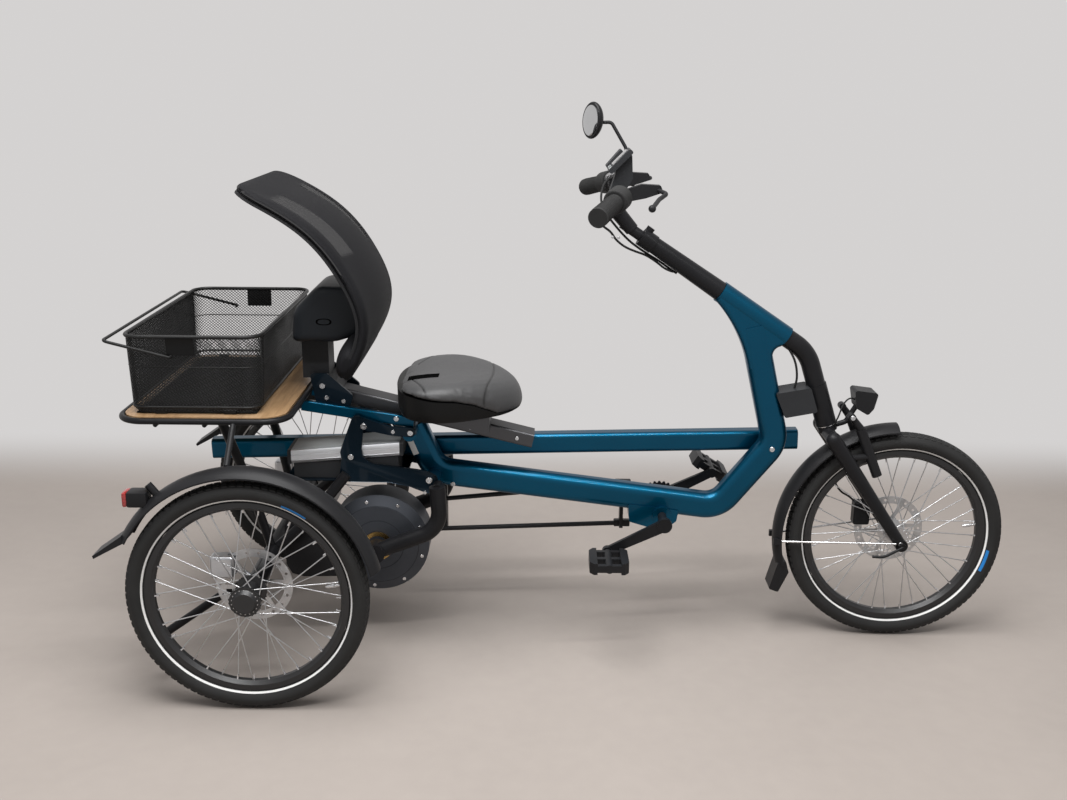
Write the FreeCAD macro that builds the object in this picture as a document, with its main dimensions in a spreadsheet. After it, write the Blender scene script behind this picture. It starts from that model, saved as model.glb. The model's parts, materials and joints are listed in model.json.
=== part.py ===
import FreeCAD, Part
import math
import os
import re

import Sketcher
from FreeCAD import Placement, Rotation, Vector

# A semi-recumbent electric tricycle: two wheels behind, one in front.
# Millimetres. Coordinates in this file are measured from the ground under the middle of the
# rear axle: X forward, Y to the rider's left, Z up. Each piece's Placement then moves it back
# by originForward, so that the finished model's origin is on the ground under its middle.

sizeTable = {
    # whole vehicle
    "originForward": 682.5,
    "wheelbase": 1415.0,
    "track": 713.0,
    "fitGap": 0.05,
    "seatGap": 0.3,
    # tyres and rims, the same 406 mm size all round
    "tyreRadius": 250.0,
    "tyreWidth": 48.0,
    "rimRadius": 208.0,
    "rimInner": 190.0,
    "rimWidth": 25.0,
    "spokeRadius": 1.2,
    "spokeCount": 36.0,
    "spokeLean": 62.0,
    "rotorRadius": 80.0,
    "rotorHole": 62.0,
    "rotorThick": 2.0,
    "rotorArms": 6.0,
    "rotorDrills": 18.0,
    "rotorDrillRadius": 3.2,
    "padGap": 2.5,
    # front hub and its axle
    "frontAxleRadius": 5.0,
    "frontFlangeRadius": 29.0,
    "frontFlangeOut": 27.0,
    "frontHubRadius": 17.0,
    "frontHubHalf": 44.0,
    "frontRotorOut": 38.0,
    # rear hubs and the beam that carries them
    "rearAxleRadius": 8.0,
    "rearFlangeRadius": 32.0,
    "rearFlangeOut": 28.0,
    "rearHubRadius": 22.0,
    "rearHubOuter": 34.0,
    "rearHubInner": 62.0,
    "rearRotorOut": 56.0,
    "hubCapRadius": 27.0,
    "beamRadius": 19.0,
    "beamGap": 6.0,
    "axleShort": 4.0,
    "strutRadius": 12.0,
    # low main tube, riser and column lug
    "tubeTall": 60.0,
    "tubeWide": 48.0,
    "tubeCorner": 18.0,
    "tubeBend": 62.0,
    "yokeX": 304.0,
    "yokeZ": 509.0,
    "heelX": 352.0,
    "heelZ": 399.0,
    "toeX": 1002.0,
    "toeZ": 317.0,
    "kneeX": 1126.0,
    "kneeZ": 475.0,
    "riserTopX": 1060.0,
    "riserTopZ": 745.0,
    "lugFrontX": 1135.5,
    "lugFrontZ": 718.0,
    "lugLength": 182.0,
    "lugRadius": 24.0,
    "flareStart": 95.0,
    "flareReach": 16.0,
    "bossRadius": 15.0,
    "columnSlope": 34.0,
    # steering head
    "headBottomX": 1239.5,
    "headBottomZ": 519.0,
    "headAngle": 71.8,
    "headRadius": 21.0,
    "headBend": 95.0,
    "headSleeve": 2.0,
    "headSleeveLength": 96.0,
    "raceGap": 2.3,
    "raceLength": 14.0,
    "steererRadius": 14.0,
    "steererLength": 105.0,
    # long straight stay on the left
    "stayY": 55.0,
    "stayWide": 40.0,
    "stayTall": 47.0,
    "stayRearX": -170.0,
    "stayRearZ": 431.0,
    "stayFrontX": 1187.0,
    "stayFrontZ": 466.0,
    "stayCorner": 10.0,
    # controller box between riser and head
    "boxRearTopX": 1116.0,
    "boxRearTopZ": 595.0,
    "boxFrontTopX": 1193.0,
    "boxFrontTopZ": 609.0,
    "boxFrontLowX": 1212.0,
    "boxFrontLowZ": 553.0,
    "boxRearLowX": 1140.0,
    "boxRearLowZ": 539.0,
    "boxHalf": 30.0,
    "boxCorner": 5.0,
    # crank and chain run
    "bracketX": 873.0,
    "bracketZ": 303.0,
    "bracketRadius": 21.0,
    "bracketHalf": 34.0,
    "crankAxle": 10.0,
    "castingHalf": 27.0,
    "crankThrow": 142.0,
    "crankTurn": 206.7,
    "armY": 82.0,
    "armThick": 13.0,
    "armRootRadius": 17.0,
    "armTipRadius": 11.5,
    "ringRadius": 55.0,
    "ringY": 50.0,
    "ringThick": 4.0,
    "ringTeeth": 30.0,
    "toothDepth": 5.0,
    "pedalPin": 4.0,
    "pedalLong": 86.0,
    "pedalTilt": 32.0,
    "pedalWide": 88.0,
    "pedalThick": 26.0,
    "guardRadius": 5.5,
    # drive hub between the arms
    "driveX": 226.0,
    "driveZ": 244.0,
    "driveRadius": 115.0,
    "driveAxle": 7.0,
    "driveRightY": -78.0,
    "driveLeftY": 20.0,
    "driveArmY": 112.0,
    "driveArmRadius": 18.0,
    # rear plates, rails and gussets
    "plateY": 75.5,
    "plateThick": 6.0,
    "plateBoltAX": 199.0,
    "plateBoltAZ": 519.0,
    "plateBoltBX": 170.0,
    "plateBoltBZ": 440.0,
    "plateBoltCX": 342.0,
    "plateBoltCZ": 397.0,
    "railY": 60.0,
    "railWide": 14.0,
    "railTall": 24.0,
    "railRearX": 66.0,
    "railRearZ": 570.0,
    "railFrontX": 312.0,
    "railFrontZ": 532.0,
    "seatRailRearX": 118.0,
    "seatRailRearZ": 591.0,
    "seatRailFrontX": 576.0,
    "seatRailFrontZ": 478.0,
    "seatRailTall": 32.0,
    "seatRailWide": 56.0,
    # battery
    "batteryRearX": 24.0,
    "batteryFrontX": 291.0,
    "batteryRightY": -74.0,
    "batteryLeftY": 30.0,
    "batteryLowZ": 402.0,
    "batteryTopZ": 458.0,
    "batteryBevel": 12.0,
    "trayThick": 5.0,
    # seat and back
    "seatRearX": 270.0,
    "seatFrontX": 552.0,
    "seatHalf": 172.0,
    "seatLowZ": 558.0,
    "seatTopZ": 640.0,
    "seatFall": 16.0,
    "slideRearX": 318.0,
    "slideFrontX": 480.0,
    "slideHalf": 70.0,
    "gussetRearX": 84.0,
    "gussetThick": 6.0,
    "postHalf": 34.0,
    "backHalf": 195.0,
    "backBulge": 23.0,
    "backThick": 9.0,
    "backRimWide": 26.0,
    "backCorner": 44.0,
    "backBend": 145.0,
    "backTopX": -12.0,
    "backTopZ": 1051.0,
    "backShoulderX": 127.0,
    "backShoulderZ": 964.0,
    "backMiddleX": 197.0,
    "backMiddleZ": 870.0,
    "backCrestX": 227.0,
    "backCrestZ": 775.0,
    "backFootX": 186.0,
    "backFootZ": 663.0,
    "lumbarHalf": 88.0,
    "lumbarLowZ": 716.0,
    # carrier, board and basket
    "carrierHalf": 270.0,
    "carrierRearX": -272.0,
    "carrierFrontX": 76.0,
    "carrierZ": 594.0,
    "carrierTube": 6.5,
    "carrierCorner": 55.0,
    "boardThick": 10.0,
    "boardSink": 3.0,
    "basketTopHalf": 263.0,
    "basketLowHalf": 230.0,
    "basketTopRearX": -246.0,
    "basketTopFrontX": 28.0,
    "basketLowRearX": -246.0,
    "basketLowFrontX": 18.0,
    "basketLowZ": 616.0,
    "basketFootInset": 12.0,
    "basketTopZ": 770.0,
    "basketTopCorner": 34.0,
    "basketLowCorner": 28.0,
    "basketWall": 3.0,
    "basketWire": 4.0,
    "handleWire": 3.4,
    "handleFrontX": -150.0,
    "handleFrontZ": 726.0,
    "handleRearX": -283.0,
    "handleRearZ": 760.0,
    # mudguards
    "rearGuardInner": 276.0,
    "frontGuardInner": 268.0,
    "guardThick": 3.0,
    "guardWide": 62.0,
    "guardDrop": 14.0,
    "rearGuardFrom": 13.0,
    "rearGuardTo": 152.0,
    "frontGuardShift": 9.0,
    "frontGuardFrom": 91.2,
    "frontGuardTo": 196.0,
    # tail lamps, headlight and tow pin
    "lampRearX": -234.0,
    "lampLowZ": 446.0,
    "lampLong": 50.0,
    "lampTall": 32.0,
    "lampWide": 36.0,
    "lampFootTurn": 127.5,
    "headlightWide": 48.0,
    "towX": -238.0,
    "towY": -252.0,
    "towZ": 92.0,
    "towArmRadius": 9.0,
    "hitchRadius": 13.0,
    "hitchHalf": 12.0,
    "towPinRadius": 6.0,
    "towPinLength": 20.0,
    # fork
    "crownDrop": 19.1426,
    "crownBack": 2.6095,
    "crownRadius": 15.0,
    "brakeY": 44.0,
    "forkHalf": 64.0,
    "forkTopRadius": 17.0,
    "forkLowRadius": 13.0,
    # handlebar
    "columnRadius": 16.0,
    "columnDepth": 126.0,
    "sleeveRadius": 21.5,
    "sleeveTopRadius": 18.5,
    "sleeveLength": 182.0,
    "innerRadius": 12.0,
    "innerLength": 82.0,
    "barRadius": 11.1,
    "barX": 745.0,
    "barZ": 1002.0,
    "barFlat": 38.0,
    "barClampRadius": 19.0,
    "displayWide": 68.0,
    "leverReach": 27.0,
    "mirrorY": 200.0,
    "mirrorTall": 84.0,
    "mirrorWide": 64.0,
    "mirrorLean": 14.0,
    "riseX": 762.0,
    "riseY": 112.0,
    "riseZ": 1038.0,
    "gripInX": 752.0,
    "gripInY": 165.0,
    "gripInZ": 1042.0,
    "gripEndX": 699.0,
    "gripEndY": 300.0,
    "gripEndZ": 1015.0,
    "gripLength": 100.0,
    "gripRadius": 17.5,
    "gripFlare": 19.5,
    "barrelLength": 40.0,
    "barrelRadius": 25.0,
}

os.makedirs("parts", exist_ok=True)
doc = FreeCAD.newDocument("Tricycle")
sheet = doc.addObject("Spreadsheet::Sheet", "Sizes")
for row, (alias, number) in enumerate(sizeTable.items(), start=1):
    sheet.set(f"A{row}", alias)
    sheet.set(f"B{row}", str(number))
    sheet.setAlias(f"B{row}", alias)
doc.recompute()
s = {alias: float(sheet.get(alias)) for alias in sizeTable}
subParts = []


def bound(text):
    """An expression on size names, written as FreeCAD wants it: Sizes.name."""
    def named(word):
        return "Sizes." + word.group() if word.group() in s else word.group()
    return re.sub(r"[A-Za-z]\w*", named, text)


def value(text):
    return float(sheet.evalExpression(bound(text)))


def placed(thing, at, turn=None):
    """Puts a piece's own origin at three expressions on the sheet."""
    thing.Placement = Placement(Vector(*[value(text) for text in at]), turn or Rotation())
    for axis, text in zip("xyz", at):
        thing.setExpression("Placement.Base." + axis, bound(text))
    return thing


def subPart(thing, label, at=("0", "0", "0"), turn=None):
    """Names a sub-part and places it: at is its own origin, from the rear axle's ground point."""
    thing.Label = label
    placed(thing, (f"{at[0]} - originForward", at[1], at[2]), turn)
    subParts.append(thing)
    return thing


def shaped(name, shape):
    """A form that neither a primitive nor a sketched body fits."""
    thing = doc.addObject("Part::Feature", name)
    thing.Shape = shape
    return thing


def feature(label, shape, at=("0", "0", "0"), turn=None):
    return subPart(shaped(label, shape), label, at, turn)


# sketched bodies and the booleans that join them

def originPlane(body, role):
    return next(item for item in body.Origin.OriginFeatures if item.Role == role)


def sketchOutline(body, name, role, corners, lift="0"):
    """A closed outline whose every corner is held to the sheet by its two coordinates."""
    sketch = body.newObject("Sketcher::SketchObject", name)
    sketch.AttachmentSupport = [(originPlane(body, role), "")]
    sketch.MapMode = "FlatFace"
    sketch.AttachmentOffset = Placement(Vector(0, 0, value(lift)), Rotation())
    sketch.setExpression("AttachmentOffset.Base.z", bound(lift))
    points = [Vector(value(u), value(v), 0) for u, v in corners]
    for start, end in zip(points, points[1:] + points[:1]):
        sketch.addGeometry(Part.LineSegment(start, end), False)
    count = len(points)
    for index in range(count):
        sketch.addConstraint(Sketcher.Constraint("Coincident", index, 2, (index + 1) % count, 1))
    for index, (u, v) in enumerate(corners):
        for kind, axis, text, number in (
            ("DistanceX", -2, u, points[index].x),
            ("DistanceY", -1, v, points[index].y),
        ):
            if abs(number) < 1e-9:
                sketch.addConstraint(Sketcher.Constraint("PointOnObject", index, 1, axis))
            else:
                at = sketch.addConstraint(Sketcher.Constraint(kind, -1, 1, index, 1, number))
                sketch.setExpression(f"Constraints[{at}]", bound(text))
    sketch.Visibility = False
    return sketch


def turnedBody(name, corners):
    """A body turned about its own Y axis from an outline of (radius, along the axis) corners."""
    body = doc.addObject("PartDesign::Body", name)
    sketch = sketchOutline(body, name + "Outline", "XY_Plane", corners)
    turn = body.newObject("PartDesign::Revolution", name + "Turn")
    turn.Profile = sketch
    turn.ReferenceAxis = (sketch, ["V_Axis"])
    return body


def padBody(name, role, corners, lift, length, rounding=None):
    """An outline on an origin plane, padded, with its upright edges rounded."""
    body = doc.addObject("PartDesign::Body", name)
    sketch = sketchOutline(body, name + "Outline", role, corners, lift)
    pad = body.newObject("PartDesign::Pad", name + "Pad")
    pad.Profile = sketch
    pad.setExpression("Length", bound(length))
    doc.recompute()
    if rounding:
        upright = []
        normal = sketch.Placement.Rotation.multVec(Vector(0, 0, 1))
        for number, edge in enumerate(pad.Shape.Edges, start=1):
            along = edge.tangentAt(edge.FirstParameter)
            if abs(abs(along.dot(normal)) - 1) < 1e-6:
                upright.append(f"Edge{number}")
        fillet = body.newObject("PartDesign::Fillet", name + "Corners")
        fillet.Base = (pad, upright)
        fillet.setExpression("Radius", bound(rounding))
    return body


def sidePlate(name, corners, leftY, thick, rounding=None):
    """A plate of (x, z) corners whose left face is at leftY; the sketch's own normal is -Y."""
    return padBody(name, "XZ_Plane", corners, f"-({leftY})", thick, rounding)


def barBody(name, rear, front, y, wide, tall, corner):
    """A straight bar of rounded section, laid from one (x, z) pair of sizes to another."""
    across = [(1, 1), (-1, 1), (-1, -1), (1, -1)]
    corners = [(f"{a} * ({wide}) / 2", f"{b} * ({tall}) / 2") for a, b in across]
    length = f"sqrt(({front[0]} - {rear[0]})^2 + ({front[1]} - {rear[1]})^2)"
    body = padBody(name, "YZ_Plane", corners, "0", length, corner)
    rise = math.atan2(value(f"{front[1]} - {rear[1]}"), value(f"{front[0]} - {rear[0]}"))
    turn = Rotation(Vector(0, 1, 0), -math.degrees(rise))
    return placed(body, (rear[0], y, rear[1]), turn)


def crossRod(name, radius, halfLength, at):
    """A round rod along Y, as long to the left as to the right of its middle."""
    cylinder = doc.addObject("Part::Cylinder", name)
    cylinder.setExpression("Radius", bound(radius))
    cylinder.setExpression("Height", bound(f"2 * ({halfLength})"))
    leftEnd = (at[0], f"{at[1]} + {halfLength}", at[2])
    return placed(cylinder, leftEnd, Rotation(Vector(1, 0, 0), 90))


def fused(name, *things):
    whole = doc.addObject("Part::MultiFuse", name)
    whole.Shapes = list(things)
    return whole


def cutAway(name, base, tool):
    rest = doc.addObject("Part::Cut", name)
    rest.Base = base
    rest.Tool = tool
    return rest


def pairOf(name, thing):
    """A piece and its mirror image on the other side."""
    twin = doc.addObject("Part::Mirroring", name + "Twin")
    twin.Source = thing
    twin.Normal = Vector(0, 1, 0)
    return fused(name, thing, twin)


# shapes for bent and blended pieces

def rod(start, end, radius):
    return Part.makeCylinder(radius, (end - start).Length, start, end - start)


def taper(start, end, startRadius, endRadius):
    return Part.makeCone(startRadius, endRadius, (end - start).Length, start, end - start)


def bentPath(points, radii):
    """Straight runs joined by tangent arcs, of one radius or of one for each inner point."""
    if not isinstance(radii, list):
        radii = [radii] * (len(points) - 2)
    edges = []
    start = points[0]
    for before, corner, after, radius in zip(points, points[1:], points[2:], radii):
        back = (before - corner).normalize()
        ahead = (after - corner).normalize()
        halfTurn = (math.pi - back.getAngle(ahead)) / 2
        reach = radius * math.tan(halfTurn)
        inward = (back + ahead).normalize()
        middle = corner + inward * (radius / math.cos(halfTurn) - radius)
        edges.append(Part.makeLine(start, corner + back * reach))
        edges.append(Part.Arc(corner + back * reach, middle, corner + ahead * reach).toShape())
        start = corner + ahead * reach
    edges.append(Part.makeLine(start, points[-1]))
    return Part.Wire(edges)


def swept(path, profile):
    return path.makePipeShell([profile], True, False)


def bentTube(points, radius, radii):
    along = points[1] - points[0]
    profile = Part.Wire([Part.makeCircle(radius, points[0], along)])
    return swept(bentPath(points, radii), profile)


def roundedSection(centre, along, wide, tall, corner):
    """A rounded rectangle across a path in the XZ plane: wide in Y, tall across the path."""
    side = Vector(0, 1, 0)
    up = along.cross(side).normalize() * -1
    halfWide = wide / 2
    halfTall = tall / 2
    spots = []
    for a, b in ((1, 1), (-1, 1), (-1, -1), (1, -1)):
        near = centre + side * a * (halfWide - corner) + up * b * (halfTall - corner)
        lead = side * a * corner
        rise = up * b * corner
        middle = near + (lead + rise) * math.sqrt(0.5)
        ends = (near + lead, near + rise) if a == b else (near + rise, near + lead)
        spots.append((ends[0], middle, ends[1]))
    edges = []
    for first, second in zip(spots, spots[1:] + spots[:1]):
        edges.append(Part.Arc(*first).toShape())
        edges.append(Part.makeLine(first[2], second[0]))
    return Part.Wire(edges)


def roundedLoop(lowX, highX, half, z, corner):
    """A closed loop of straight runs and quarter arcs in a level plane."""
    centres = [
        (highX - corner, half - corner, 0), (lowX + corner, half - corner, 90),
        (lowX + corner, -half + corner, 180), (highX - corner, -half + corner, 270),
    ]
    arcs = []
    for x, y, start in centres:
        spots = []
        for turn in (start, start + 45, start + 90):
            angle = math.radians(turn)
            spots.append(Vector(x + corner * math.cos(angle), y + corner * math.sin(angle), z))
        arcs.append(spots)
    edges = []
    for spots, following in zip(arcs, arcs[1:] + arcs[:1]):
        edges.append(Part.Arc(*spots).toShape())
        edges.append(Part.makeLine(spots[2], following[0]))
    return Part.Wire(edges)


def loopTube(lowX, highX, half, z, corner, radius):
    """A tube along a rounded loop, closed at the middle of its front run."""
    path = roundedLoop(lowX, highX, half, z, corner)
    middle = Vector(highX, 0, z)
    profile = Part.Wire([Part.makeCircle(radius, middle, Vector(0, 1, 0))])
    first = Part.makeLine(middle, Vector(highX, half - corner, z))
    last = Part.makeLine(Vector(highX, -half + corner, z), middle)
    return swept(Part.Wire([first] + path.Edges[:-1] + [last]), profile)


def plate(points, y, thick, corner=0.0):
    """A flat plate in an XZ plane from y to y + thick, its corners rounded."""
    corners = [Vector(x, y, z) for x, z in points]
    solid = Part.Face(Part.makePolygon(corners + corners[:1])).extrude(Vector(0, thick, 0))
    if not corner:
        return solid
    upright = [e for e in solid.Edges if abs(abs(e.tangentAt(e.FirstParameter).y) - 1) < 1e-6]
    return solid.makeFillet(corner, upright)


def block(low, high, corner=0.0):
    solid = Part.makeBox(high.x - low.x, high.y - low.y, high.z - low.z, low)
    return solid.makeFillet(corner, solid.Edges) if corner else solid


def joined(first, *others):
    return first.fuse(list(others)).removeSplitter()


def cutBy(first, *others):
    return first.cut(list(others))


def mirrored(shape):
    return shape.mirror(Vector(0, 0, 0), Vector(0, 1, 0))


def bothSides(shape):
    return joined(shape, mirrored(shape))


def direction(degrees):
    """A direction in the XZ plane, turned up from straight ahead."""
    return Vector(math.cos(math.radians(degrees)), 0, math.sin(math.radians(degrees)))


def atY(point, y):
    return Vector(point.x, y, point.z)


def across(centre, lowY, highY, radius):
    """A rod along Y through a point of the XZ plane."""
    return rod(atY(centre, lowY), atY(centre, highY), radius)


# driving points and directions

columnUp = direction(180 - s["columnSlope"])
headUp = direction(180 - s["headAngle"])
headAhead = Vector(headUp.z, 0, -headUp.x)
lugFront = Vector(s["lugFrontX"], 0, s["lugFrontZ"])
lugRear = lugFront + columnUp * s["lugLength"]
headBottom = Vector(s["headBottomX"], 0, s["headBottomZ"])
frontAxle = Vector(s["wheelbase"], 0, s["tyreRadius"])
rearAxle = Vector(0, 0, s["tyreRadius"])
bracket = Vector(s["bracketX"], 0, s["bracketZ"])
drive = Vector(s["driveX"], 0, s["driveZ"])
crown = headBottom - headUp * s["crownDrop"] - headAhead * s["crownBack"]
heel = Vector(s["heelX"], 0, s["heelZ"])
toe = Vector(s["toeX"], 0, s["toeZ"])
knee = Vector(s["kneeX"], 0, s["kneeZ"])
riserTop = Vector(s["riserTopX"], 0, s["riserTopZ"])
riserUp = (riserTop - knee).normalize()


def lowTubeZ(x):
    """Height of the low tube's centre line."""
    return heel.z + (toe.z - heel.z) * (x - heel.x) / (toe.x - heel.x)


# wheels

def tyre(label, at):
    """The ring of a tyre, opened at the rim's seat."""
    ring = doc.addObject("Part::Torus", label + "Ring")
    ring.setExpression("Radius1", bound("tyreRadius - tyreWidth / 2"))
    ring.setExpression("Radius2", bound("tyreWidth / 2"))
    seat = doc.addObject("Part::Cylinder", label + "Seat")
    seat.setExpression("Radius", bound("rimRadius"))
    seat.setExpression("Height", bound("tyreWidth"))
    seat.setExpression("Placement.Base.z", bound("-tyreWidth / 2"))
    subPart(cutAway(label, ring, seat), label, at, Rotation(Vector(1, 0, 0), 90))


def spokes(flangeRadius, flangeOut):
    """Crossed spokes from the two flanges to the rim's inner wall, sunk into both."""
    count = int(s["spokeCount"])
    sunk = 2 * s["spokeRadius"] + 2
    made = []
    for index in range(count):
        side = 1 if index % 2 else -1
        lean = s["spokeLean"] if index % 4 < 2 else -s["spokeLean"]
        rimAngle = 360 * index / count
        inner = direction(rimAngle + lean) * (flangeRadius - sunk)
        outer = direction(rimAngle) * (s["rimInner"] + 2)
        made.append(rod(atY(inner, side * flangeOut), atY(outer, side * 3), s["spokeRadius"]))
    return made


def turned(profile):
    """A ring about the Y axis from (radius, y) corners."""
    corners = [Vector(radius, y, 0) for radius, y in profile]
    face = Part.Face(Part.makePolygon(corners + corners[:1]))
    return face.revolve(Vector(0, 0, 0), Vector(0, 1, 0), 360)


def rimRing():
    half = s["rimWidth"] / 2
    wall = s["rimInner"] + 7
    return turned([
        (s["rimRadius"], -half), (s["rimRadius"], half), (wall, half),
        (s["rimInner"], 5), (s["rimInner"], -5), (wall, -half),
    ])


def rotor(y):
    """Brake rotor: a drilled ring on leaning arms."""
    half = s["rotorThick"] / 2
    inner = s["rotorHole"]
    outer = s["rotorRadius"]
    ring = turned([(inner, y - half), (outer, y - half), (outer, y + half), (inner, y + half)])
    count = int(s["rotorDrills"])
    middle = (inner + outer) / 2
    drills = []
    for index in range(count):
        spot = direction(360 * index / count) * middle
        drills.append(across(spot, y - 2 * half, y + 2 * half, s["rotorDrillRadius"]))
    arms = []
    for index in range(int(s["rotorArms"])):
        arm = block(Vector(14, y - half, 2), Vector(inner + 2, y + half, 11))
        arm.Placement = Placement(Vector(0, 0, 0), Rotation(Vector(0, 1, 0), 360 * index / s["rotorArms"]))
        arms.append(arm)
    return joined(cutBy(ring, *drills), *arms)


def frontWheel():
    bore = s["frontAxleRadius"] + s["fitGap"]
    half = s["frontHubHalf"]
    flange = s["frontFlangeOut"]
    flangeRadius = s["frontFlangeRadius"]
    shell = s["frontHubRadius"]
    hub = turned([
        (bore, -half), (12, -half), (12, -flange - 2), (flangeRadius, -flange - 2),
        (flangeRadius, -flange + 2), (shell, -flange + 5), (shell, flange - 5),
        (flangeRadius, flange - 2), (flangeRadius, flange + 2), (18, flange + 2), (18, half), (bore, half),
    ])
    wheel = joined(rimRing(), hub, rotor(s["frontRotorOut"]), *spokes(flangeRadius, flange))
    feature("front_rim", wheel, ("wheelbase", "0", "tyreRadius"))


def rearWheel(label, side):
    """side is 1 on the left; the hub's cap points outwards and the rotor sits inboard."""
    bore = s["rearAxleRadius"] + s["fitGap"]
    outer = s["rearHubOuter"]
    inner = -s["rearHubInner"]
    flange = s["rearFlangeOut"]
    flangeRadius = s["rearFlangeRadius"]
    shell = s["rearHubRadius"]
    cap = s["hubCapRadius"]
    hub = turned([
        (bore, inner), (20, inner), (20, -flange - 2), (flangeRadius, -flange - 2),
        (flangeRadius, -flange + 2), (shell, -flange + 5), (shell, flange - 8),
        (flangeRadius, flange - 2), (flangeRadius, flange + 2), (cap, flange + 2),
        (cap, outer - 4), (cap - 6, outer + 4), (0, outer + 4), (0, outer - 1), (bore, outer - 1),
    ])
    wheel = joined(rimRing(), hub, rotor(-s["rearRotorOut"]), *spokes(flangeRadius, flange))
    if side < 0:
        wheel = mirrored(wheel)
    feature(label, wheel, ("0", f"{side} * track / 2", "tyreRadius"))


# frame

def mainTube(grow=0.0):
    """The step-through tube, from the yoke down under the seat and up to the column's lug."""
    points = [Vector(s["yokeX"], 0, s["yokeZ"]), heel, toe, knee, riserTop]
    wide = s["tubeWide"] + 2 * grow
    tall = s["tubeTall"] + 2 * grow
    section = roundedSection(points[0], points[1] - points[0], wide, tall, s["tubeCorner"] + grow)
    return swept(bentPath(points, s["tubeBend"]), section)


def riserFlare():
    """The web that spreads the riser's head under the lug, hollowed behind and before it."""
    side = s["tubeTall"] / 2
    reach = s["flareReach"]
    behind = Vector(-riserUp.z, 0, riserUp.x)
    under = Vector(-columnUp.z, 0, columnUp.x)
    rearLow = riserTop - riserUp * s["flareStart"] + behind * (side - 1)
    rearTop = lugRear + under * s["lugRadius"] * 0.9 - columnUp * 2
    rearMiddle = (rearLow + rearTop) * 0.5 - behind * (reach * 0.75)
    frontTop = lugFront + under * (s["lugRadius"] - 0.5) + columnUp
    frontLow = riserTop - riserUp * (s["flareStart"] * 0.8) - behind * (side - 1)
    frontMiddle = (frontTop + frontLow) * 0.5 + (riserUp + behind * 0.3) * (reach * 0.3)
    insideRear = lugRear - columnUp * 6
    insideFront = lugFront + columnUp * 6
    edges = [
        Part.Arc(rearLow, rearMiddle, rearTop).toShape(),
        Part.makeLine(rearTop, insideRear),
        Part.makeLine(insideRear, insideFront),
        Part.makeLine(insideFront, frontTop),
        Part.Arc(frontTop, frontMiddle, frontLow).toShape(),
        Part.makeLine(frontLow, rearLow),
    ]
    half = s["tubeWide"] / 2 - 2
    face = Part.Face(Part.Wire(edges))
    face.translate(Vector(0, -half, 0))
    solid = face.extrude(Vector(0, 2 * half, 0))
    rims = [e for e in solid.Edges if abs(abs(e.CenterOfMass.y) - half) < 0.1]
    curved = [e for e in rims if isinstance(e.Curve, Part.Circle)]
    return solid.makeFillet(s["tubeCorner"] * 0.6, curved)


def crankCasting():
    """The casting under the low tube that holds the crank's bearing shell."""
    front = bracket.x + 38
    rear = bracket.x - 78
    low = bracket.z - 31
    outline = [
        (rear, lowTubeZ(rear) - 14), (front, lowTubeZ(front) - 14), (front - 4, low + 16),
        (front - 24, low), (rear + 50, low), (rear + 4, low + 14),
    ]
    half = s["castingHalf"]
    shell = across(bracket, -s["bracketHalf"], s["bracketHalf"], s["bracketRadius"])
    return joined(plate(outline, -half, 2 * half, 5), shell)


def mainFrame():
    bosses = []
    yokeEye = Vector(s["yokeX"] - 1, 0, s["yokeZ"] - 3)
    heelEye = Vector(s["plateBoltCX"] + 10, 0, s["plateBoltCZ"])
    for spot in (yokeEye, heelEye):
        bosses.append(across(spot, -s["plateY"], s["plateY"], s["bossRadius"]))
    stayEye = Vector(knee.x - 10, 0, s["stayFrontZ"] - 2)
    bosses.append(across(stayEye, 0, s["stayY"] - s["stayWide"] / 2, s["bossRadius"] + 2))
    lug = rod(lugFront, lugRear, s["lugRadius"])
    solid = joined(mainTube(), lug, riserFlare(), crankCasting(), *bosses)
    columnBore = rod(lugRear - columnUp * s["columnDepth"] - columnUp * 4, lugRear + columnUp * 5,
                     s["columnRadius"] + s["fitGap"])
    axleBore = across(bracket, -s["bracketHalf"] - 5, s["bracketHalf"] + 5, s["crankAxle"] + s["fitGap"])
    feature("main_frame", cutBy(solid, columnBore, axleBore))


def upperStay():
    body = barBody("stayBar", ("stayRearX", "stayRearZ"), ("stayFrontX", "stayFrontZ"),
                   "stayY", "stayWide", "stayTall", "stayCorner")
    subPart(body, "upper_stay", ("stayRearX", "stayY", "stayRearZ"), body.Placement.Rotation)


def goosePath():
    """From the lug along the column's line, then down the steering head's line."""
    apart = lugFront - headBottom
    determinant = headUp.x * columnUp.z - columnUp.x * headUp.z
    reach = (apart.x * headUp.z - apart.z * headUp.x) / determinant
    return [lugFront, lugFront + columnUp * reach, headBottom]


def gooseTube(grow=0.0):
    bend = bentTube(goosePath(), s["headRadius"] + grow, s["headBend"])
    sleeveRadius = s["headRadius"] + s["headSleeve"] + grow
    sleeve = rod(headBottom, headBottom + headUp * s["headSleeveLength"], sleeveRadius)
    return joined(bend, sleeve)


def gooseneck():
    bore = rod(headBottom - headUp * 5, headBottom + headUp * (s["steererLength"] + 4),
               s["steererRadius"] + s["fitGap"])
    feature("gooseneck", cutBy(gooseTube(), bore))


def controllerBox():
    corners = [
        ("boxRearTopX", "boxRearTopZ"), ("boxFrontTopX", "boxFrontTopZ"),
        ("boxFrontLowX", "boxFrontLowZ"), ("boxRearLowX", "boxRearLowZ"),
    ]
    body = sidePlate("boxBody", corners, "boxHalf", "2 * boxHalf", "boxCorner")
    neighbours = shaped("boxNeighbours", joined(mainTube(s["seatGap"]), gooseTube(s["seatGap"])))
    subPart(cutAway("controller_box", body, neighbours), "controller_box")


def sideRails():
    body = barBody("railBar", ("railRearX", "railRearZ"), ("railFrontX", "railFrontZ"),
                   "railY", "railWide", "railTall", "3")
    subPart(pairOf("side_rails", body), "side_rails")


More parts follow.
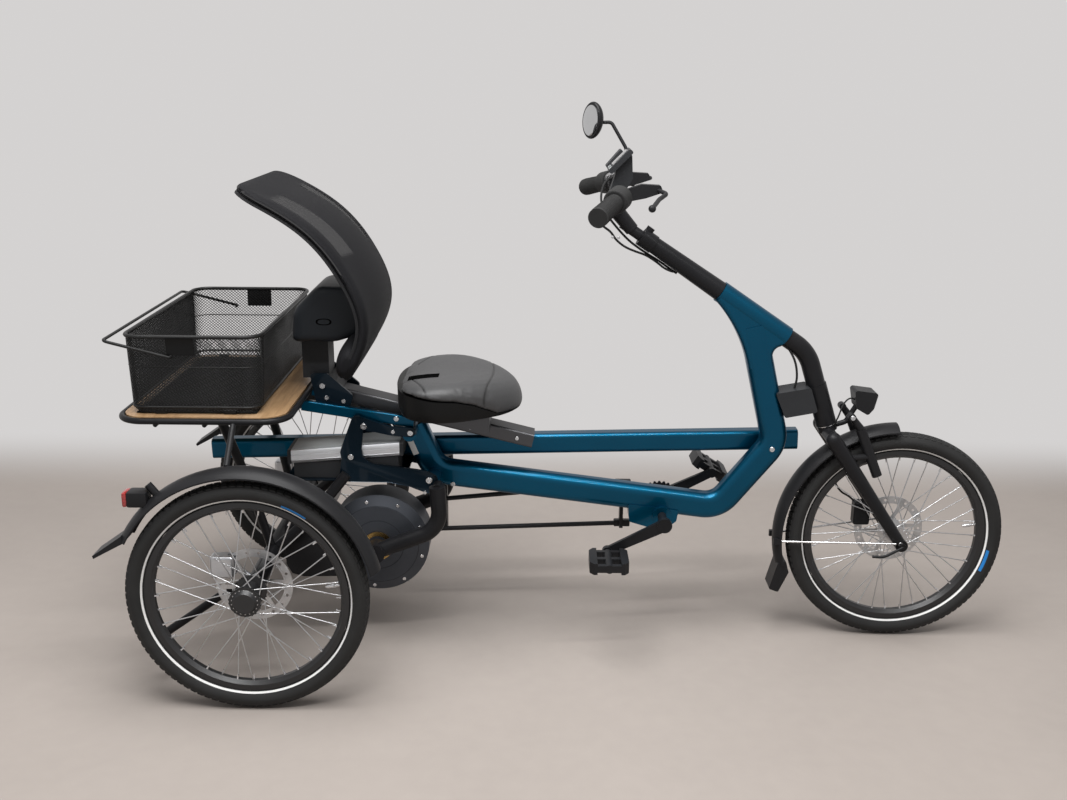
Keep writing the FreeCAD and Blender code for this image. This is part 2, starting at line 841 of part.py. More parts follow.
def seatRail():
    """The rail that the saddle slides along, with its slide clamped on."""
    rail = barBody("seatRailBar", ("seatRailRearX", "seatRailRearZ"), ("seatRailFrontX", "seatRailFrontZ"),
                   "0", "seatRailWide", "seatRailTall", "5")
    corners = [
        ("slideRearX", "seatLowZ - 13"), ("slideFrontX", "seatLowZ - 48"),
        ("slideFrontX", "seatLowZ - seatGap"), ("slideRearX", "seatLowZ - seatGap"),
    ]
    slide = sidePlate("seatSlide", corners, "slideHalf", "2 * slideHalf")
    subPart(fused("seat_rail", rail, slide), "seat_rail")


def seatOutline(share, z):
    """The saddle's plan, wide behind and narrow in front, shrunk to a share about its middle."""
    rear = s["seatRearX"]
    length = s["seatFrontX"] - rear
    half = s["seatHalf"]
    side = [(0.03, 0.72), (0.25, 1.0), (0.6, 0.86), (0.88, 0.52)]
    plan = [(0.0, 0.0)] + side + [(1.0, 0.0)] + [(x, -y) for x, y in side[::-1]]
    points = []
    for x, y in plan:
        points.append(Vector(rear + length * (0.5 + (x - 0.5) * share), y * half * share, z))
    curve = Part.BSplineCurve()
    curve.interpolate(points, PeriodicFlag=True)
    return Part.Wire([curve.toShape()])


def seatPad():
    """A moulded saddle: swelling sides and a top that falls to the front and the back."""
    low = s["seatLowZ"]
    tall = s["seatTopZ"] - low
    heights = [(0.96, 0.0), (1.0, 0.35), (0.97, 0.72), (0.84, 1.0)]
    bulk = Part.makeLoft([seatOutline(share, low + tall * rise) for share, rise in heights], True)
    rear = s["seatRearX"] - 20
    front = s["seatFrontX"] + 20
    half = s["seatHalf"] + 20
    fall = s["seatFall"]
    rise = Part.Arc(Vector(rear, -half, low + tall - fall), Vector((rear + front) / 2, -half, low + tall),
                    Vector(front, -half, low + tall - fall * 1.3)).toShape()
    floor = [Vector(front, -half, low - 20), Vector(rear, -half, low - 20)]
    walls = [Part.makeLine(rise.valueAt(rise.LastParameter), floor[0]), Part.makeLine(floor[0], floor[1]),
             Part.makeLine(floor[1], rise.valueAt(rise.FirstParameter))]
    crest = Part.Face(Part.Wire([rise] + walls)).extrude(Vector(0, 2 * half, 0))
    solid = bulk.common(crest)
    channelRear = Vector(s["seatRailRearX"], 0, s["seatRailRearZ"])
    channelFront = Vector(s["seatRailFrontX"], 0, s["seatRailFrontZ"])
    along = channelFront - channelRear
    section = roundedSection(channelRear, along, s["seatRailWide"] + 2, s["seatRailTall"] + 2, 5)
    feature("seat_pad", cutBy(solid, Part.Face(section).extrude(along)))


def backGussets():
    corners = [
        ("gussetRearX", "railRearZ + 70"), ("gussetRearX + 38", "railRearZ + 70"),
        ("gussetRearX + 94", "railRearZ + 20"), ("gussetRearX + 86", "railRearZ - 8"),
        ("gussetRearX + 12", "railRearZ + 2"),
    ]
    body = sidePlate("gussetPlate", corners, "railY - railWide / 2", "gussetThick", "8")
    subPart(pairOf("back_gussets", body), "back_gussets")


def backColumn():
    """A foot between the gussets and the post that carries the lumbar housing."""
    gap = "railY - railWide / 2 - gussetThick"
    corners = [("88", "615"), ("152", "600"), ("140", "622"), ("118", "632"), ("88", "632")]
    foot = sidePlate("columnFoot", corners, gap, f"2 * ({gap})")
    outline = [("66", "625"), ("124", "625"), ("124", "lumbarLowZ - seatGap"), ("66", "lumbarLowZ - seatGap")]
    post = sidePlate("columnPost", outline, "postHalf", "2 * postHalf")
    subPart(fused("back_column", foot, post), "back_column")


def lumbarHousing():
    corners = [
        ("52", "lumbarLowZ"), ("150", "lumbarLowZ"), ("236", "lumbarLowZ + 22"), ("244", "lumbarLowZ + 84"),
        ("198", "lumbarLowZ + 124"), ("104", "lumbarLowZ + 108"), ("60", "lumbarLowZ + 66"),
    ]
    body = sidePlate("lumbarBlock", corners, "lumbarHalf", "2 * lumbarHalf", "14")
    cleared = shaped("lumbarClearance", backPanelSolid(s["seatGap"], 70))
    subPart(cutAway("lumbar_housing", body, cleared), "lumbar_housing")


def backCurve():
    """The back's side profile, through its top, shoulder, middle, crest and foot."""
    spots = []
    for name in ("backTop", "backShoulder", "backMiddle", "backCrest", "backFoot"):
        spots.append(Vector(s[name + "X"], 0, s[name + "Z"]))
    curve = Part.BSplineCurve()
    curve.interpolate(spots)
    return curve


def backSection(y, rearGrow, frontGrow):
    """A closed thin outline of the back at one y, bulging forward at the middle."""
    curve = backCurve()
    share = 1 - (y / s["backHalf"]) ** 2
    behindBy = s["backThick"] / 2 + rearGrow
    aheadBy = s["backThick"] / 2 + frontGrow
    front = []
    rear = []
    steps = 10
    for index in range(steps + 1):
        at = curve.FirstParameter + (curve.LastParameter - curve.FirstParameter) * index / steps
        run = curve.tangent(at)[0]
        out = Vector(-run.z, 0, run.x)
        bulge = s["backBulge"] * share * math.sin(math.pi * index / steps)
        centre = curve.value(at) + Vector(0, y, 0) + out * bulge
        front.append(centre + out * aheadBy)
        rear.append(centre - out * behindBy)
    ahead = Part.BSplineCurve()
    ahead.interpolate(front)
    behind = Part.BSplineCurve()
    behind.interpolate(rear[::-1])
    return Part.Wire([
        ahead.toShape(), Part.makeLine(front[-1], rear[-1]),
        behind.toShape(), Part.makeLine(rear[0], front[0]),
    ])


def backPanelSolid(rearGrow=0.0, frontGrow=0.0):
    half = s["backHalf"] - s["backRimWide"] / 2
    spans = [-half, -half / 2, 0, half / 2, half]
    return Part.makeLoft([backSection(y, rearGrow, frontGrow) for y in spans], True)


def backRimSolid(grow=0.0):
    """A closed hoop: both sides follow the back's profile, with round corners above and below."""
    curve = backCurve()
    side = []
    for share in (0.0, 0.3, 0.5, 0.7, 1.0):
        at = curve.FirstParameter + (curve.LastParameter - curve.FirstParameter) * share
        side.append(curve.value(at) + Vector(0, s["backHalf"], 0))
    path = [atY(side[0], 0)] + side + [atY(side[-1], 0)]
    corner = s["backCorner"]
    bend = s["backBend"]
    half = bentTube(path, s["backRimWide"] / 2 + grow, [corner, bend, bend, bend, corner])
    return bothSides(half)


def backrest():
    """The rim, and the panel stretched inside it: what the rim cuts off outside is dropped."""
    feature("backrest_rim", backRimSolid())
    pieces = cutBy(backPanelSolid(), backRimSolid(s["seatGap"])).Solids
    inside = max(pieces, key=lambda piece: piece.Volume)
    feature("backrest_panel", inside)


def framePlates():
    """Laser-cut side plates round the rear of the tube, an arm to the yoke and the battery's tray."""
    corners = [
        ("plateBoltAX - 18", "plateBoltAZ + 40"), ("plateBoltAX + 22", "plateBoltAZ + 34"),
        ("plateBoltBX + 34", "plateBoltBZ + 10"), ("plateBoltBX + 60", "plateBoltBZ - 8"),
        ("plateBoltCX + 30", "plateBoltCZ + 14"), ("plateBoltCX + 34", "plateBoltCZ - 34"),
        ("plateBoltBX + 60", "plateBoltBZ - 62"), ("plateBoltBX - 26", "plateBoltBZ - 58"),
        ("plateBoltBX - 22", "plateBoltBZ + 10"),
    ]
    side = sidePlate("rearSide", corners, "plateY + plateThick", "plateThick", "9")
    corners = [
        ("plateBoltAX + 10", "plateBoltAZ + 22"), ("yokeX + 20", "yokeZ + 14"),
        ("yokeX + 22", "yokeZ - 24"), ("yokeX - 22", "yokeZ - 20"), ("plateBoltAX + 8", "plateBoltAZ - 14"),
    ]
    arm = sidePlate("yokeArm", corners, "plateY + plateThick", "plateThick", "6")
    trayTop = "batteryLowZ - seatGap"
    corners = [
        ("batteryRearX", trayTop), ("batteryFrontX + 1", trayTop),
        ("batteryFrontX + 1", "batteryLowZ - trayThick"), ("batteryRearX", "batteryLowZ - trayThick"),
    ]
    tray = sidePlate("batteryTray", corners, "plateY", "2 * plateY")
    wings = [pairOf("rearSides", side), pairOf("yokeArms", arm)]
    subPart(fused("frame_plates", *wings, tray), "frame_plates")


def rearStruts():
    """Tubes from the axle beam up to the plates and to the carrier, with the tow arm."""
    foot = Vector(0, 130, s["tyreRadius"])
    plateEye = Vector(s["plateBoltBX"] - 6, s["plateY"] + s["plateThick"] + 12, s["plateBoltBZ"] - 20)
    forward = bentTube([foot, Vector(90, 118, 330), plateEye], s["strutRadius"], 60)
    carrierEye = Vector(carrierBars[1], 170, s["carrierZ"] - 10)
    rise = bentTube([foot, Vector(-40, 150, 420), carrierEye], s["strutRadius"] - 2, 80)
    left = joined(forward, rise)
    towY = s["towY"]
    towRoot = atY(rearAxle, towY) - Vector(5, 0, 3)
    towEnd = Vector(s["towX"], towY, s["towZ"])
    tow = bentTube([towRoot, towRoot - Vector(70, 0, 38), towEnd], s["towArmRadius"], 40)
    hitch = across(towEnd, towY - s["hitchHalf"], towY + s["hitchHalf"], s["hitchRadius"])
    pin = across(towEnd, towY - s["hitchHalf"] - s["towPinLength"], towY, s["towPinRadius"])
    bars = [carrierBar(x, s["seatGap"]) for x in carrierBars]
    solid = joined(left, mirrored(left), tow, hitch, pin)
    feature("rear_struts", cutBy(solid, beamSolid(s["seatGap"]), *bars))


def driveArms():
    """Two curved arms from the yoke down to the drive hub's axle."""
    y = s["driveArmY"]
    top = Vector(s["plateBoltCX"] + 24, y, s["plateBoltCZ"] + 2)
    arm = bentTube([top, Vector(372, y, 300), atY(drive, y)], s["driveArmRadius"], 60)
    boss = across(drive, y - 20, y + 20, 22)
    link = across(top - Vector(0, 0, 8), s["plateY"] + s["plateThick"], y, 12)
    axle = across(drive, -y, y, s["driveAxle"])
    one = joined(arm, boss, link)
    feature("drive_arms", joined(one, mirrored(one), axle))


def driveHub():
    """The drive hub's drum, its cheeks coned inwards, with the sprocket's collar on the left."""
    collar = "ringY + 6"
    corners = [
        ("driveAxle + fitGap", "driveRightY - 6"), ("24", "driveRightY - 6"), ("24", "driveRightY"),
        ("driveRadius - 24", "driveRightY + 4"), ("driveRadius", "driveRightY + 16"),
        ("driveRadius", "driveLeftY - 12"), ("driveRadius - 26", "driveLeftY"),
        ("30", "driveLeftY + 4"), ("30", collar), ("driveAxle + fitGap", collar),
    ]
    body = turnedBody("hubDrum", corners)
    subPart(body, "drive_hub", ("driveX", "0", "driveZ"))


def beamSolid(grow=0.0):
    """The rear beam and its wheel axles, as a shape to clear."""
    half = s["track"] / 2
    inner = half - s["rearHubInner"] - s["beamGap"]
    outer = half + s["rearHubOuter"] - s["axleShort"]
    beam = across(rearAxle, -inner, inner, s["beamRadius"] + grow)
    axle = across(rearAxle, -outer, outer, s["rearAxleRadius"] + grow)
    return joined(beam, axle)


def axleBeam():
    """The rear beam with the two wheel axles that stand out of its ends."""
    at = ("0", "0", "tyreRadius")
    beam = crossRod("beamTube", "beamRadius", "track / 2 - rearHubInner - beamGap", at)
    axle = crossRod("beamAxle", "rearAxleRadius", "track / 2 + rearHubOuter - axleShort", at)
    subPart(fused("axle_beam", beam, axle), "axle_beam")


def battery():
    """A slide-in pack: a long case with its rear edges bevelled."""
    corners = [
        ("batteryRearX", "batteryLowZ + batteryBevel"), ("batteryRearX", "batteryTopZ - batteryBevel"),
        ("batteryRearX + batteryBevel", "batteryTopZ"), ("batteryFrontX", "batteryTopZ"),
        ("batteryFrontX", "batteryLowZ"), ("batteryRearX + batteryBevel", "batteryLowZ"),
    ]
    body = sidePlate("batteryCase", corners, "batteryLeftY", "batteryLeftY - batteryRightY")
    subPart(body, "battery")


def chainGuards():
    """The two tubes that the chain runs in, with the sleeves at their front ends."""
    y = s["ringY"]
    radius = s["guardRadius"]
    end = bracket.x - s["ringRadius"] - 16
    chainLine = s["ringRadius"] - s["toothDepth"]
    upperEnd = Vector(end, y, bracket.z + chainLine)
    lowerEnd = Vector(end, y, bracket.z - chainLine)
    upper = rod(Vector(371, y, 309.5), upperEnd, radius)
    lower = rod(Vector(351, y, 233), lowerEnd, radius)
    sleeves = []
    for spot in (upperEnd, lowerEnd):
        sleeves.append(block(spot + Vector(-34, -8, -8), spot + Vector(4, 8, 8), 3))
    side = s["tubeWide"] / 2 + s["seatGap"]
    bracketPlate = block(Vector(end - 22, side, lowerEnd.z - 4), Vector(end - 14, y + 2, upperEnd.z + 4))
    rear = block(Vector(366, y - 4, 233), Vector(374, s["plateY"], 385))
    feature("chain_guards", joined(upper, lower, bracketPlate, rear, *sleeves))


# crank and pedals

def pedalSpot(side):
    angle = s["crankTurn"] + (0 if side < 0 else 180)
    return bracket + direction(angle) * s["crankThrow"]


def crankArm(side):
    """A forged arm: a web that tapers from its root boss to the pedal's eye."""
    end = pedalSpot(side)
    near = side * s["armY"]
    far = side * (s["armY"] + s["armThick"])
    low = min(near, far)
    along = (end - bracket).normalize()
    aside = Vector(-along.z, 0, along.x)
    root = aside * (s["armRootRadius"] - 3)
    tip = aside * (s["armTipRadius"] - 2)
    web = [bracket + root, end + tip, end - tip, bracket - root]
    pinEnd = side * (s["armY"] + s["armThick"] + s["pedalWide"])
    return joined(
        plate([(p.x, p.z) for p in web], low + 2, s["armThick"] - 4),
        across(bracket, near, far, s["armRootRadius"]),
        across(end, near, far, s["armTipRadius"]),
        across(end, far, pinEnd, s["pedalPin"]),
    )


def chainRing():
    """A toothed ring, lightened by round windows."""
    y = s["ringY"]
    half = s["ringThick"] / 2
    teeth = int(s["ringTeeth"])
    root = s["ringRadius"] - s["toothDepth"]
    points = []
    for index in range(teeth):
        for share, radius in ((0.0, root), (0.35, s["ringRadius"]), (0.65, s["ringRadius"])):
            spot = bracket + direction(360 * (index + share) / teeth) * radius
            points.append((spot.x, spot.z))
    ring = plate(points, y - half, 2 * half)
    windows = []
    for index in range(5):
        spot = bracket + direction(72 * index) * (root * 0.62)
        windows.append(across(spot, y - 3 * half, y + 3 * half, root * 0.21))
    return cutBy(ring, *windows)


def crankSet():
    half = s["armY"] + 4
    axle = across(bracket, -half, half, s["crankAxle"])
    feature("crank_set", joined(axle, crankArm(-1), crankArm(1), chainRing()))


def pedal(label, side):
    """A platform pedal: a frame with round ends, three cross pieces and the barrel round the pin."""
    half = s["pedalLong"] / 2
    wide = s["pedalWide"]
    thick = s["pedalThick"] / 2
    first = s["armY"] + s["armThick"] + 6
    last = first + wide
    barrel = rod(Vector(0, first, 0), Vector(0, last, 0), 10)
    parts = []
    for sign in (-1, 1):
        outline = [
            (sign * half, first + 12), (sign * (half - 9), first), (sign * (half - 17), first),
            (sign * (half - 17), last), (sign * (half - 9), last), (sign * half, last - 12),
        ]
        corners = [Vector(x, y, -thick) for x, y in outline]
        rail = Part.Face(Part.makePolygon(corners + corners[:1])).extrude(Vector(0, 0, 2 * thick))
        parts.append(rail)
    for y in (first, first + wide * 0.44, last - 12):
        parts.append(block(Vector(-half + 10, y, -thick + 5), Vector(half - 10, y + 12, thick - 5)))
    bore = rod(Vector(0, first - 5, 0), Vector(0, last - 5, 0), s["pedalPin"] + s["fitGap"])
    solid = cutBy(joined(barrel, *parts), bore)
    if side < 0:
        solid = mirrored(solid)
    angle = f"crankTurn + {0 if side < 0 else 180}"
    at = (f"bracketX + crankThrow * cos({angle})", "0", f"bracketZ + crankThrow * sin({angle})")
    tilt = s["pedalTilt"] if side > 0 else 0
    feature(label, solid, at, Rotation(Vector(0, 1, 0), tilt))


# carrier and basket

carrierBars = (-190, -90, 20)


def carrierBar(x, grow=0.0):
    """One cross bar under the board."""
    z = s["carrierZ"] - 8
    half = s["carrierHalf"]
    return rod(Vector(x, -half, z), Vector(x, half, z), 4.6 + grow)


def carrierFrame():
    loop = loopTube(s["carrierRearX"], s["carrierFrontX"], s["carrierHalf"], s["carrierZ"],
                    s["carrierCorner"], s["carrierTube"])
    feature("carrier_frame", joined(loop, *[carrierBar(x) for x in carrierBars]))


def carrierBoard():
    """The deck inside the carrier's loop."""
    half = "carrierHalf - carrierTube - seatGap"
    rear = "carrierRearX + carrierTube + seatGap"
    front = "carrierFrontX - carrierTube - seatGap"
    corners = [(rear, f"-({half})"), (front, f"-({half})"), (front, half), (rear, half)]
    body = padBody("deck", "XY_Plane", corners, "carrierZ - boardSink", "boardThick",
                   "carrierCorner - carrierTube - seatGap")
    subPart(body, "carrier_board")


def basketShell(grow, floorZ, topZ):
    """The basket's outer form: a tucked-in foot, then walls that flare to the rim."""
    levels = [
        (s["basketLowRearX"], s["basketLowFrontX"], s["basketLowHalf"], floorZ,
         s["basketLowCorner"], grow - s["basketFootInset"]),
        (s["basketLowRearX"], s["basketLowFrontX"], s["basketLowHalf"], s["basketLowZ"],
         s["basketLowCorner"], grow),
        (s["basketTopRearX"], s["basketTopFrontX"], s["basketTopHalf"], topZ,
         s["basketTopCorner"], grow),
    ]
    rings = []
    for rear, front, half, z, corner, out in levels:
        rings.append(roundedLoop(rear - out, front + out, half + out, z, corner + out))
    return Part.makeLoft(rings, True, True)


def basket():
    """A flared basket with a wire rim and a carrying handle folded down round its back."""
    floorZ = s["carrierZ"] - s["boardSink"] + s["boardThick"]
    outer = basketShell(0, floorZ, s["basketTopZ"])
    inner = basketShell(-s["basketWall"], floorZ + s["basketWall"], s["basketTopZ"] + 1)
    rim = loopTube(s["basketTopRearX"], s["basketTopFrontX"], s["basketTopHalf"], s["basketTopZ"],
                   s["basketTopCorner"], s["basketWire"])
    share = (s["handleFrontZ"] - s["basketLowZ"]) / (s["basketTopZ"] - s["basketLowZ"])
    wallY = s["basketLowHalf"] + (s["basketTopHalf"] - s["basketLowHalf"]) * share
    reach = s["basketTopHalf"] + 3
    frontX = s["handleFrontX"]
    frontZ = s["handleFrontZ"]
    half = [
        Vector(frontX, wallY - s["basketWall"] / 2, frontZ), Vector(frontX, reach, frontZ),
        Vector(s["handleRearX"], reach, s["handleRearZ"]),
    ]
    points = half + [Vector(p.x, -p.y, p.z) for p in half[::-1]]
    loop = bentTube(points, s["handleWire"], [6, 14, 14, 6])
    feature("basket", joined(cutBy(outer, inner), rim, loop))


# mudguards

def guardShell(start, end, inner):
    """A curved blade about the wheel's axis between two angles up from straight ahead."""
    outer = inner + s["guardThick"]
    half = s["guardWide"] / 2
    drop = s["guardDrop"]
    corners = [
        Vector(outer - drop, -half, 0), Vector(outer - drop, half, 0),
        Vector(inner - drop, half, 0), Vector(inner - drop, -half, 0),
    ]
    edges = [
        Part.Arc(corners[0], Vector(outer, 0, 0), corners[1]).toShape(),
        Part.makeLine(corners[1], corners[2]),
        Part.Arc(corners[2], Vector(inner, 0, 0), corners[3]).toShape(),
        Part.makeLine(corners[3], corners[0]),
    ]
    face = Part.Face(Part.Wire(edges))
    face.rotate(Vector(0, 0, 0), Vector(0, 1, 0), -start)
    return face.revolve(Vector(0, 0, 0), Vector(0, 1, 0), -(end - start))


def rearGuard(label, side):
    y = side * s["track"] / 2
    blade = guardShell(s["rearGuardFrom"], s["rearGuardTo"], s["rearGuardInner"])
    blade.translate(atY(rearAxle, y))
    flap = plate([(-240, 388), (-235, 374), (-298, 340), (-300, 346)], y - 26, 52)
    tubeAt = Vector(-30, side * s["carrierHalf"], s["carrierZ"])
    bladeAt = Vector(-30, side * (s["track"] / 2 - 14), s["tyreRadius"] + s["rearGuardInner"] - 2)
    down = (bladeAt - tubeAt).normalize()
    lug = rod(tubeAt + down * (s["carrierTube"] + s["seatGap"]), bladeAt, 6)
    feature(label, joined(blade, flap, lug))


def frontGuard():
    centre = frontAxle - Vector(s["frontGuardShift"], 0, 0)
    blade = guardShell(s["frontGuardFrom"], s["frontGuardTo"], s["frontGuardInner"])
    blade.translate(centre)
    half = s["guardWide"] / 2 - 5
    flap = plate([(1147, 184), (1130, 120), (1152, 112), (1174, 162), (1166, 190)], -half, 2 * half, 4)
    stays = []
    for side in (-1, 1):
        eye = side * (s["forkHalf"] + s["forkLowRadius"] + s["seatGap"])
        clip = Vector(1142, side * half, 240)
        stays.append(rod(clip, Vector(s["wheelbase"] - 15, eye, s["tyreRadius"] + 8), 2))
        stays.append(block(clip - Vector(9, 4, 7), clip + Vector(7, 4, 7)))
    rise = (crown - centre).normalize()
    tab = rod(centre + rise * (s["frontGuardInner"] + 1), crown - rise * (s["crownRadius"] + s["seatGap"]), 6)
    feature("front_fender", joined(blade, flap, tab, *stays))


def tailLights():
    """A lamp seated on each rear mudguard, with its foot."""
    rear = s["lampRearX"]
    low = s["lampLowZ"]
    y = s["track"] / 2
    half = s["lampWide"] / 2
    body = block(Vector(rear, y - half, low), Vector(rear + s["lampLong"], y + half, low + s["lampTall"]), 5)
    seat = s["rearGuardInner"] + s["guardThick"] + s["seatGap"]
    hub = atY(rearAxle, y)
    clear = across(rearAxle, y - 60, y + 60, seat)
    turn = s["lampFootTurn"]
    foot = rod(hub + direction(turn) * (seat - 2), hub + direction(turn + 1) * (seat + 24), 8)
    feature("tail_lights", bothSides(cutBy(joined(body, foot), clear)))


def rearCalipers():
    """A caliper over each rear rotor, on an arm from the end of the beam."""
    y = s["track"] / 2 - s["rearRotorOut"]
    body = block(Vector(-88, y - 17, 268), Vector(-38, y + 15, 316), 6)
    slot = across(rearAxle, y - s["padGap"], y + s["padGap"], s["rotorRadius"] + 4)
    arm = rod(Vector(-45, y - 13, 285), Vector(0, y - 13, s["tyreRadius"]), 7)
    feature("rear_calipers", bothSides(cutBy(joined(body, arm), slot, beamSolid(s["seatGap"]))))


# fork and what it carries

def forkLeg(side, grow=0.0):
    top = atY(crown, side * s["forkHalf"])
    foot = frontAxle + Vector(-4, side * (s["forkHalf"] - 2), 6)
    return taper(top, foot, s["forkTopRadius"] + grow, s["forkLowRadius"] + grow)


def fork():
    half = s["forkHalf"]
    raceTop = headBottom - headUp * s["raceGap"]
    race = rod(raceTop, raceTop - headUp * s["raceLength"], s["headRadius"])
    steerer = rod(headBottom - headUp * 10, headBottom + headUp * s["steererLength"], s["steererRadius"])
    solids = [race, steerer, across(crown, -half, half, s["crownRadius"])]
    for side in (-1, 1):
        cap = Part.makeSphere(s["forkTopRadius"], atY(crown, side * half))
        drop = across(frontAxle, side * (half - 14), side * (half + 8), 14)
        solids += [forkLeg(side), cap, drop]
    axle = across(frontAxle, -half, half, s["frontAxleRadius"])
    feature("fork", joined(*solids, axle, releaseLever()))


def releaseLever():
    """The quick-release lever, folded back along the right leg."""
    root = atY(frontAxle, -s["forkHalf"] - 8)
    nut = rod(root, root - Vector(0, 9, 0), 8)
    path = [root + Vector(0, -8, 0), root + Vector(-42, -12, -22), root + Vector(-66, -4, -24)]
    lever = bentTube(path, 3.2, 40)
    return joined(nut, lever)


def headlight():
    """A wedge-shaped lamp on a bent bracket from the race."""
    outline = [(1292, 603), (1346, 596), (1338, 560), (1326, 545), (1300, 560)]
    half = s["headlightWide"] / 2
    body = plate(outline, -half, 2 * half, 6)
    root = headBottom - headUp * 9.5
    start = root + headAhead * (s["headRadius"] + s["seatGap"])
    arm = bentTube([start, start + headAhead * 22, Vector(1310, 0, 572)], 6, 14)
    feature("headlight", joined(body, arm))


def rimBrake():
    """Two cantilever arms before the legs, each with a spring barrel, a stud and a pad holder."""
    y = -s["brakeY"]
    barrel = across(Vector(1284, 0, 548), y - 9, y + 9, 8)
    joint = Vector(1306, y, 520)
    upper = taper(Vector(1284, y, 548), joint, 7, 9)
    holder = roundedBar(joint, Vector(1352, y, 410), 20, 22, 8)
    stud = rod(Vector(1330, y, 455), Vector(1275, y - 16, 455), 7)
    feature("rim_brake", bothSides(cutBy(joined(upper, barrel, holder, stud), forkLeg(-1, s["seatGap"]))))


def roundedBar(start, end, wide, tall, corner):
    """A rounded bar between two points that share one y."""
    section = roundedSection(start, end - start, wide, tall, corner)
    return Part.Face(section).extrude(end - start)


def frontCaliper():
    y = s["frontRotorOut"]
    body = block(Vector(1328, y - 15, 262), Vector(1366, y + 16, 318), 5)
    slot = across(frontAxle, y - s["padGap"], y + s["padGap"], s["rotorRadius"] + 4)
    feature("front_caliper", cutBy(body, slot, forkLeg(1, s["seatGap"])))


# handlebar

def barPoints():
    half = [
        Vector(s["gripEndX"], s["gripEndY"], s["gripEndZ"]),
        Vector(s["gripInX"], s["gripInY"], s["gripInZ"]),
        Vector(s["riseX"], s["riseY"], s["riseZ"]),
        Vector(s["barX"], s["barFlat"], s["barZ"]),
    ]
    return half + [Vector(p.x, -p.y, p.z) for p in half[::-1]]


def barTube(grow=0.0):
    return bentTube(barPoints(), s["barRadius"] + grow, 22)


def handlebar():
    """Column and telescopic sleeve, the clamp collar, the inner tube, the stem and the bar."""
    sleeveTop = lugRear + columnUp * s["sleeveLength"]
    innerTop = sleeveTop + columnUp * s["innerLength"]
    under = Vector(-columnUp.z, 0, columnUp.x)
    column = rod(lugRear - columnUp * s["columnDepth"], lugRear + columnUp * 2, s["columnRadius"])
    sleeve = taper(lugRear + columnUp * 0.5, sleeveTop, s["sleeveRadius"], s["sleeveTopRadius"])
    collar = rod(sleeveTop - columnUp * 2, sleeveTop + columnUp * 32, s["sleeveTopRadius"] + 2)
    knobRoot = sleeveTop + columnUp * 24
    knob = rod(knobRoot, knobRoot - under * (s["sleeveTopRadius"] + 9), 9)
    ears = block(Vector(-10, -9, -12), Vector(16, 9, 0))
    ears.Placement = Placement(sleeveTop + columnUp * 14 + under * (s["sleeveTopRadius"] + 1),
                               Rotation(Vector(0, 1, 0), -(180 - s["columnSlope"])))
    inner = rod(sleeveTop, innerTop, s["innerRadius"])
    centre = Vector(s["barX"], 0, s["barZ"])
    stem = taper(innerTop - columnUp * 26, centre, 15, 17)
    clamp = across(centre, -24, 24, s["barClampRadius"])
    feature("handlebar", joined(column, sleeve, collar, knob, ears, inner, stem, clamp, barTube()))


def grips():
    """Rubber grips that flare to their ends, with the twist barrels inboard of them."""
    outer, inner = barPoints()[:2]
    along = (inner - outer).normalize()
    grip = taper(outer - along * 3, outer + along * s["gripLength"], s["gripFlare"], s["gripRadius"])
    start = outer + along * (s["gripLength"] + 1)
    barrel = rod(start, start + along * s["barrelLength"], s["barrelRadius"])
    ends = [e for e in barrel.Edges if isinstance(e.Curve, Part.Circle)]
    feature("grips", cutBy(bothSides(joined(grip, barrel.makeFillet(4, ends))), barTube(s["fitGap"])))


def levers():
    """Brake levers: a clamp, a master cylinder that reaches forward and a blade with a ball end."""
    inner, rise = barPoints()[1:3]
    along = (rise - inner).normalize()
    at = inner + along * s["leverReach"]
    clamp = rod(at - along * 9, at + along * 9, 16.5)
    y = at.y
    outline = [
        (at.x + 4, at.z - 12), (at.x + 2, at.z + 12), (at.x + 36, at.z + 24), (at.x + 74, at.z + 22),
        (at.x + 80, at.z + 8), (at.x + 44, at.z - 4),
    ]
    body = plate(outline, y - 9, 20, 4)
    knuckle = at + Vector(70, 12, 12)
    tip = at + Vector(48, 118, -12)
    blade = bentTube([knuckle, at + Vector(84, 36, 8), at + Vector(66, 66, 0), tip], 4.5, [14, 40])
    ball = Part.makeSphere(7.5, tip)
    feature("levers", cutBy(bothSides(joined(clamp, body, blade, ball)), barTube(s["fitGap"])))


def tiltedPad(low, high, y, wide, thick):
    """A pad whose side edge runs between two points of the XZ plane."""
    along = (high - low).normalize()
    under = Vector(along.z, 0, -along.x)
    outline = [low, high, high + under * thick, low + under * thick]
    return plate([(p.x, p.z) for p in outline], y - wide / 2, wide, thick * 0.4)


def display():
    """The handlebar display on its ribbed mount, and a small switch pad by the left lever."""
    pad = tiltedPad(Vector(731, 0, 1080), Vector(777, 0, 1126), 8, s["displayWide"], 11)
    clampTop = s["barZ"] + s["barClampRadius"] + s["seatGap"]
    outline = [
        (s["barX"] - 13, clampTop), (s["barX"] + 16, clampTop), (s["barX"] + 40, 1062),
        (s["barX"] + 37, 1118), (s["barX"] + 8, 1089),
    ]
    mount = plate(outline, -10, 30, 4)
    small = tiltedPad(Vector(733, 0, 1078), Vector(766, 0, 1116), 130, 40, 8)
    root = barPoints()[2] + Vector(0, 0, 3)
    post = rod(root, Vector(757, 117, 1092), 7)
    feature("display", cutBy(joined(pad, mount, small, post), barTube(s["seatGap"])))


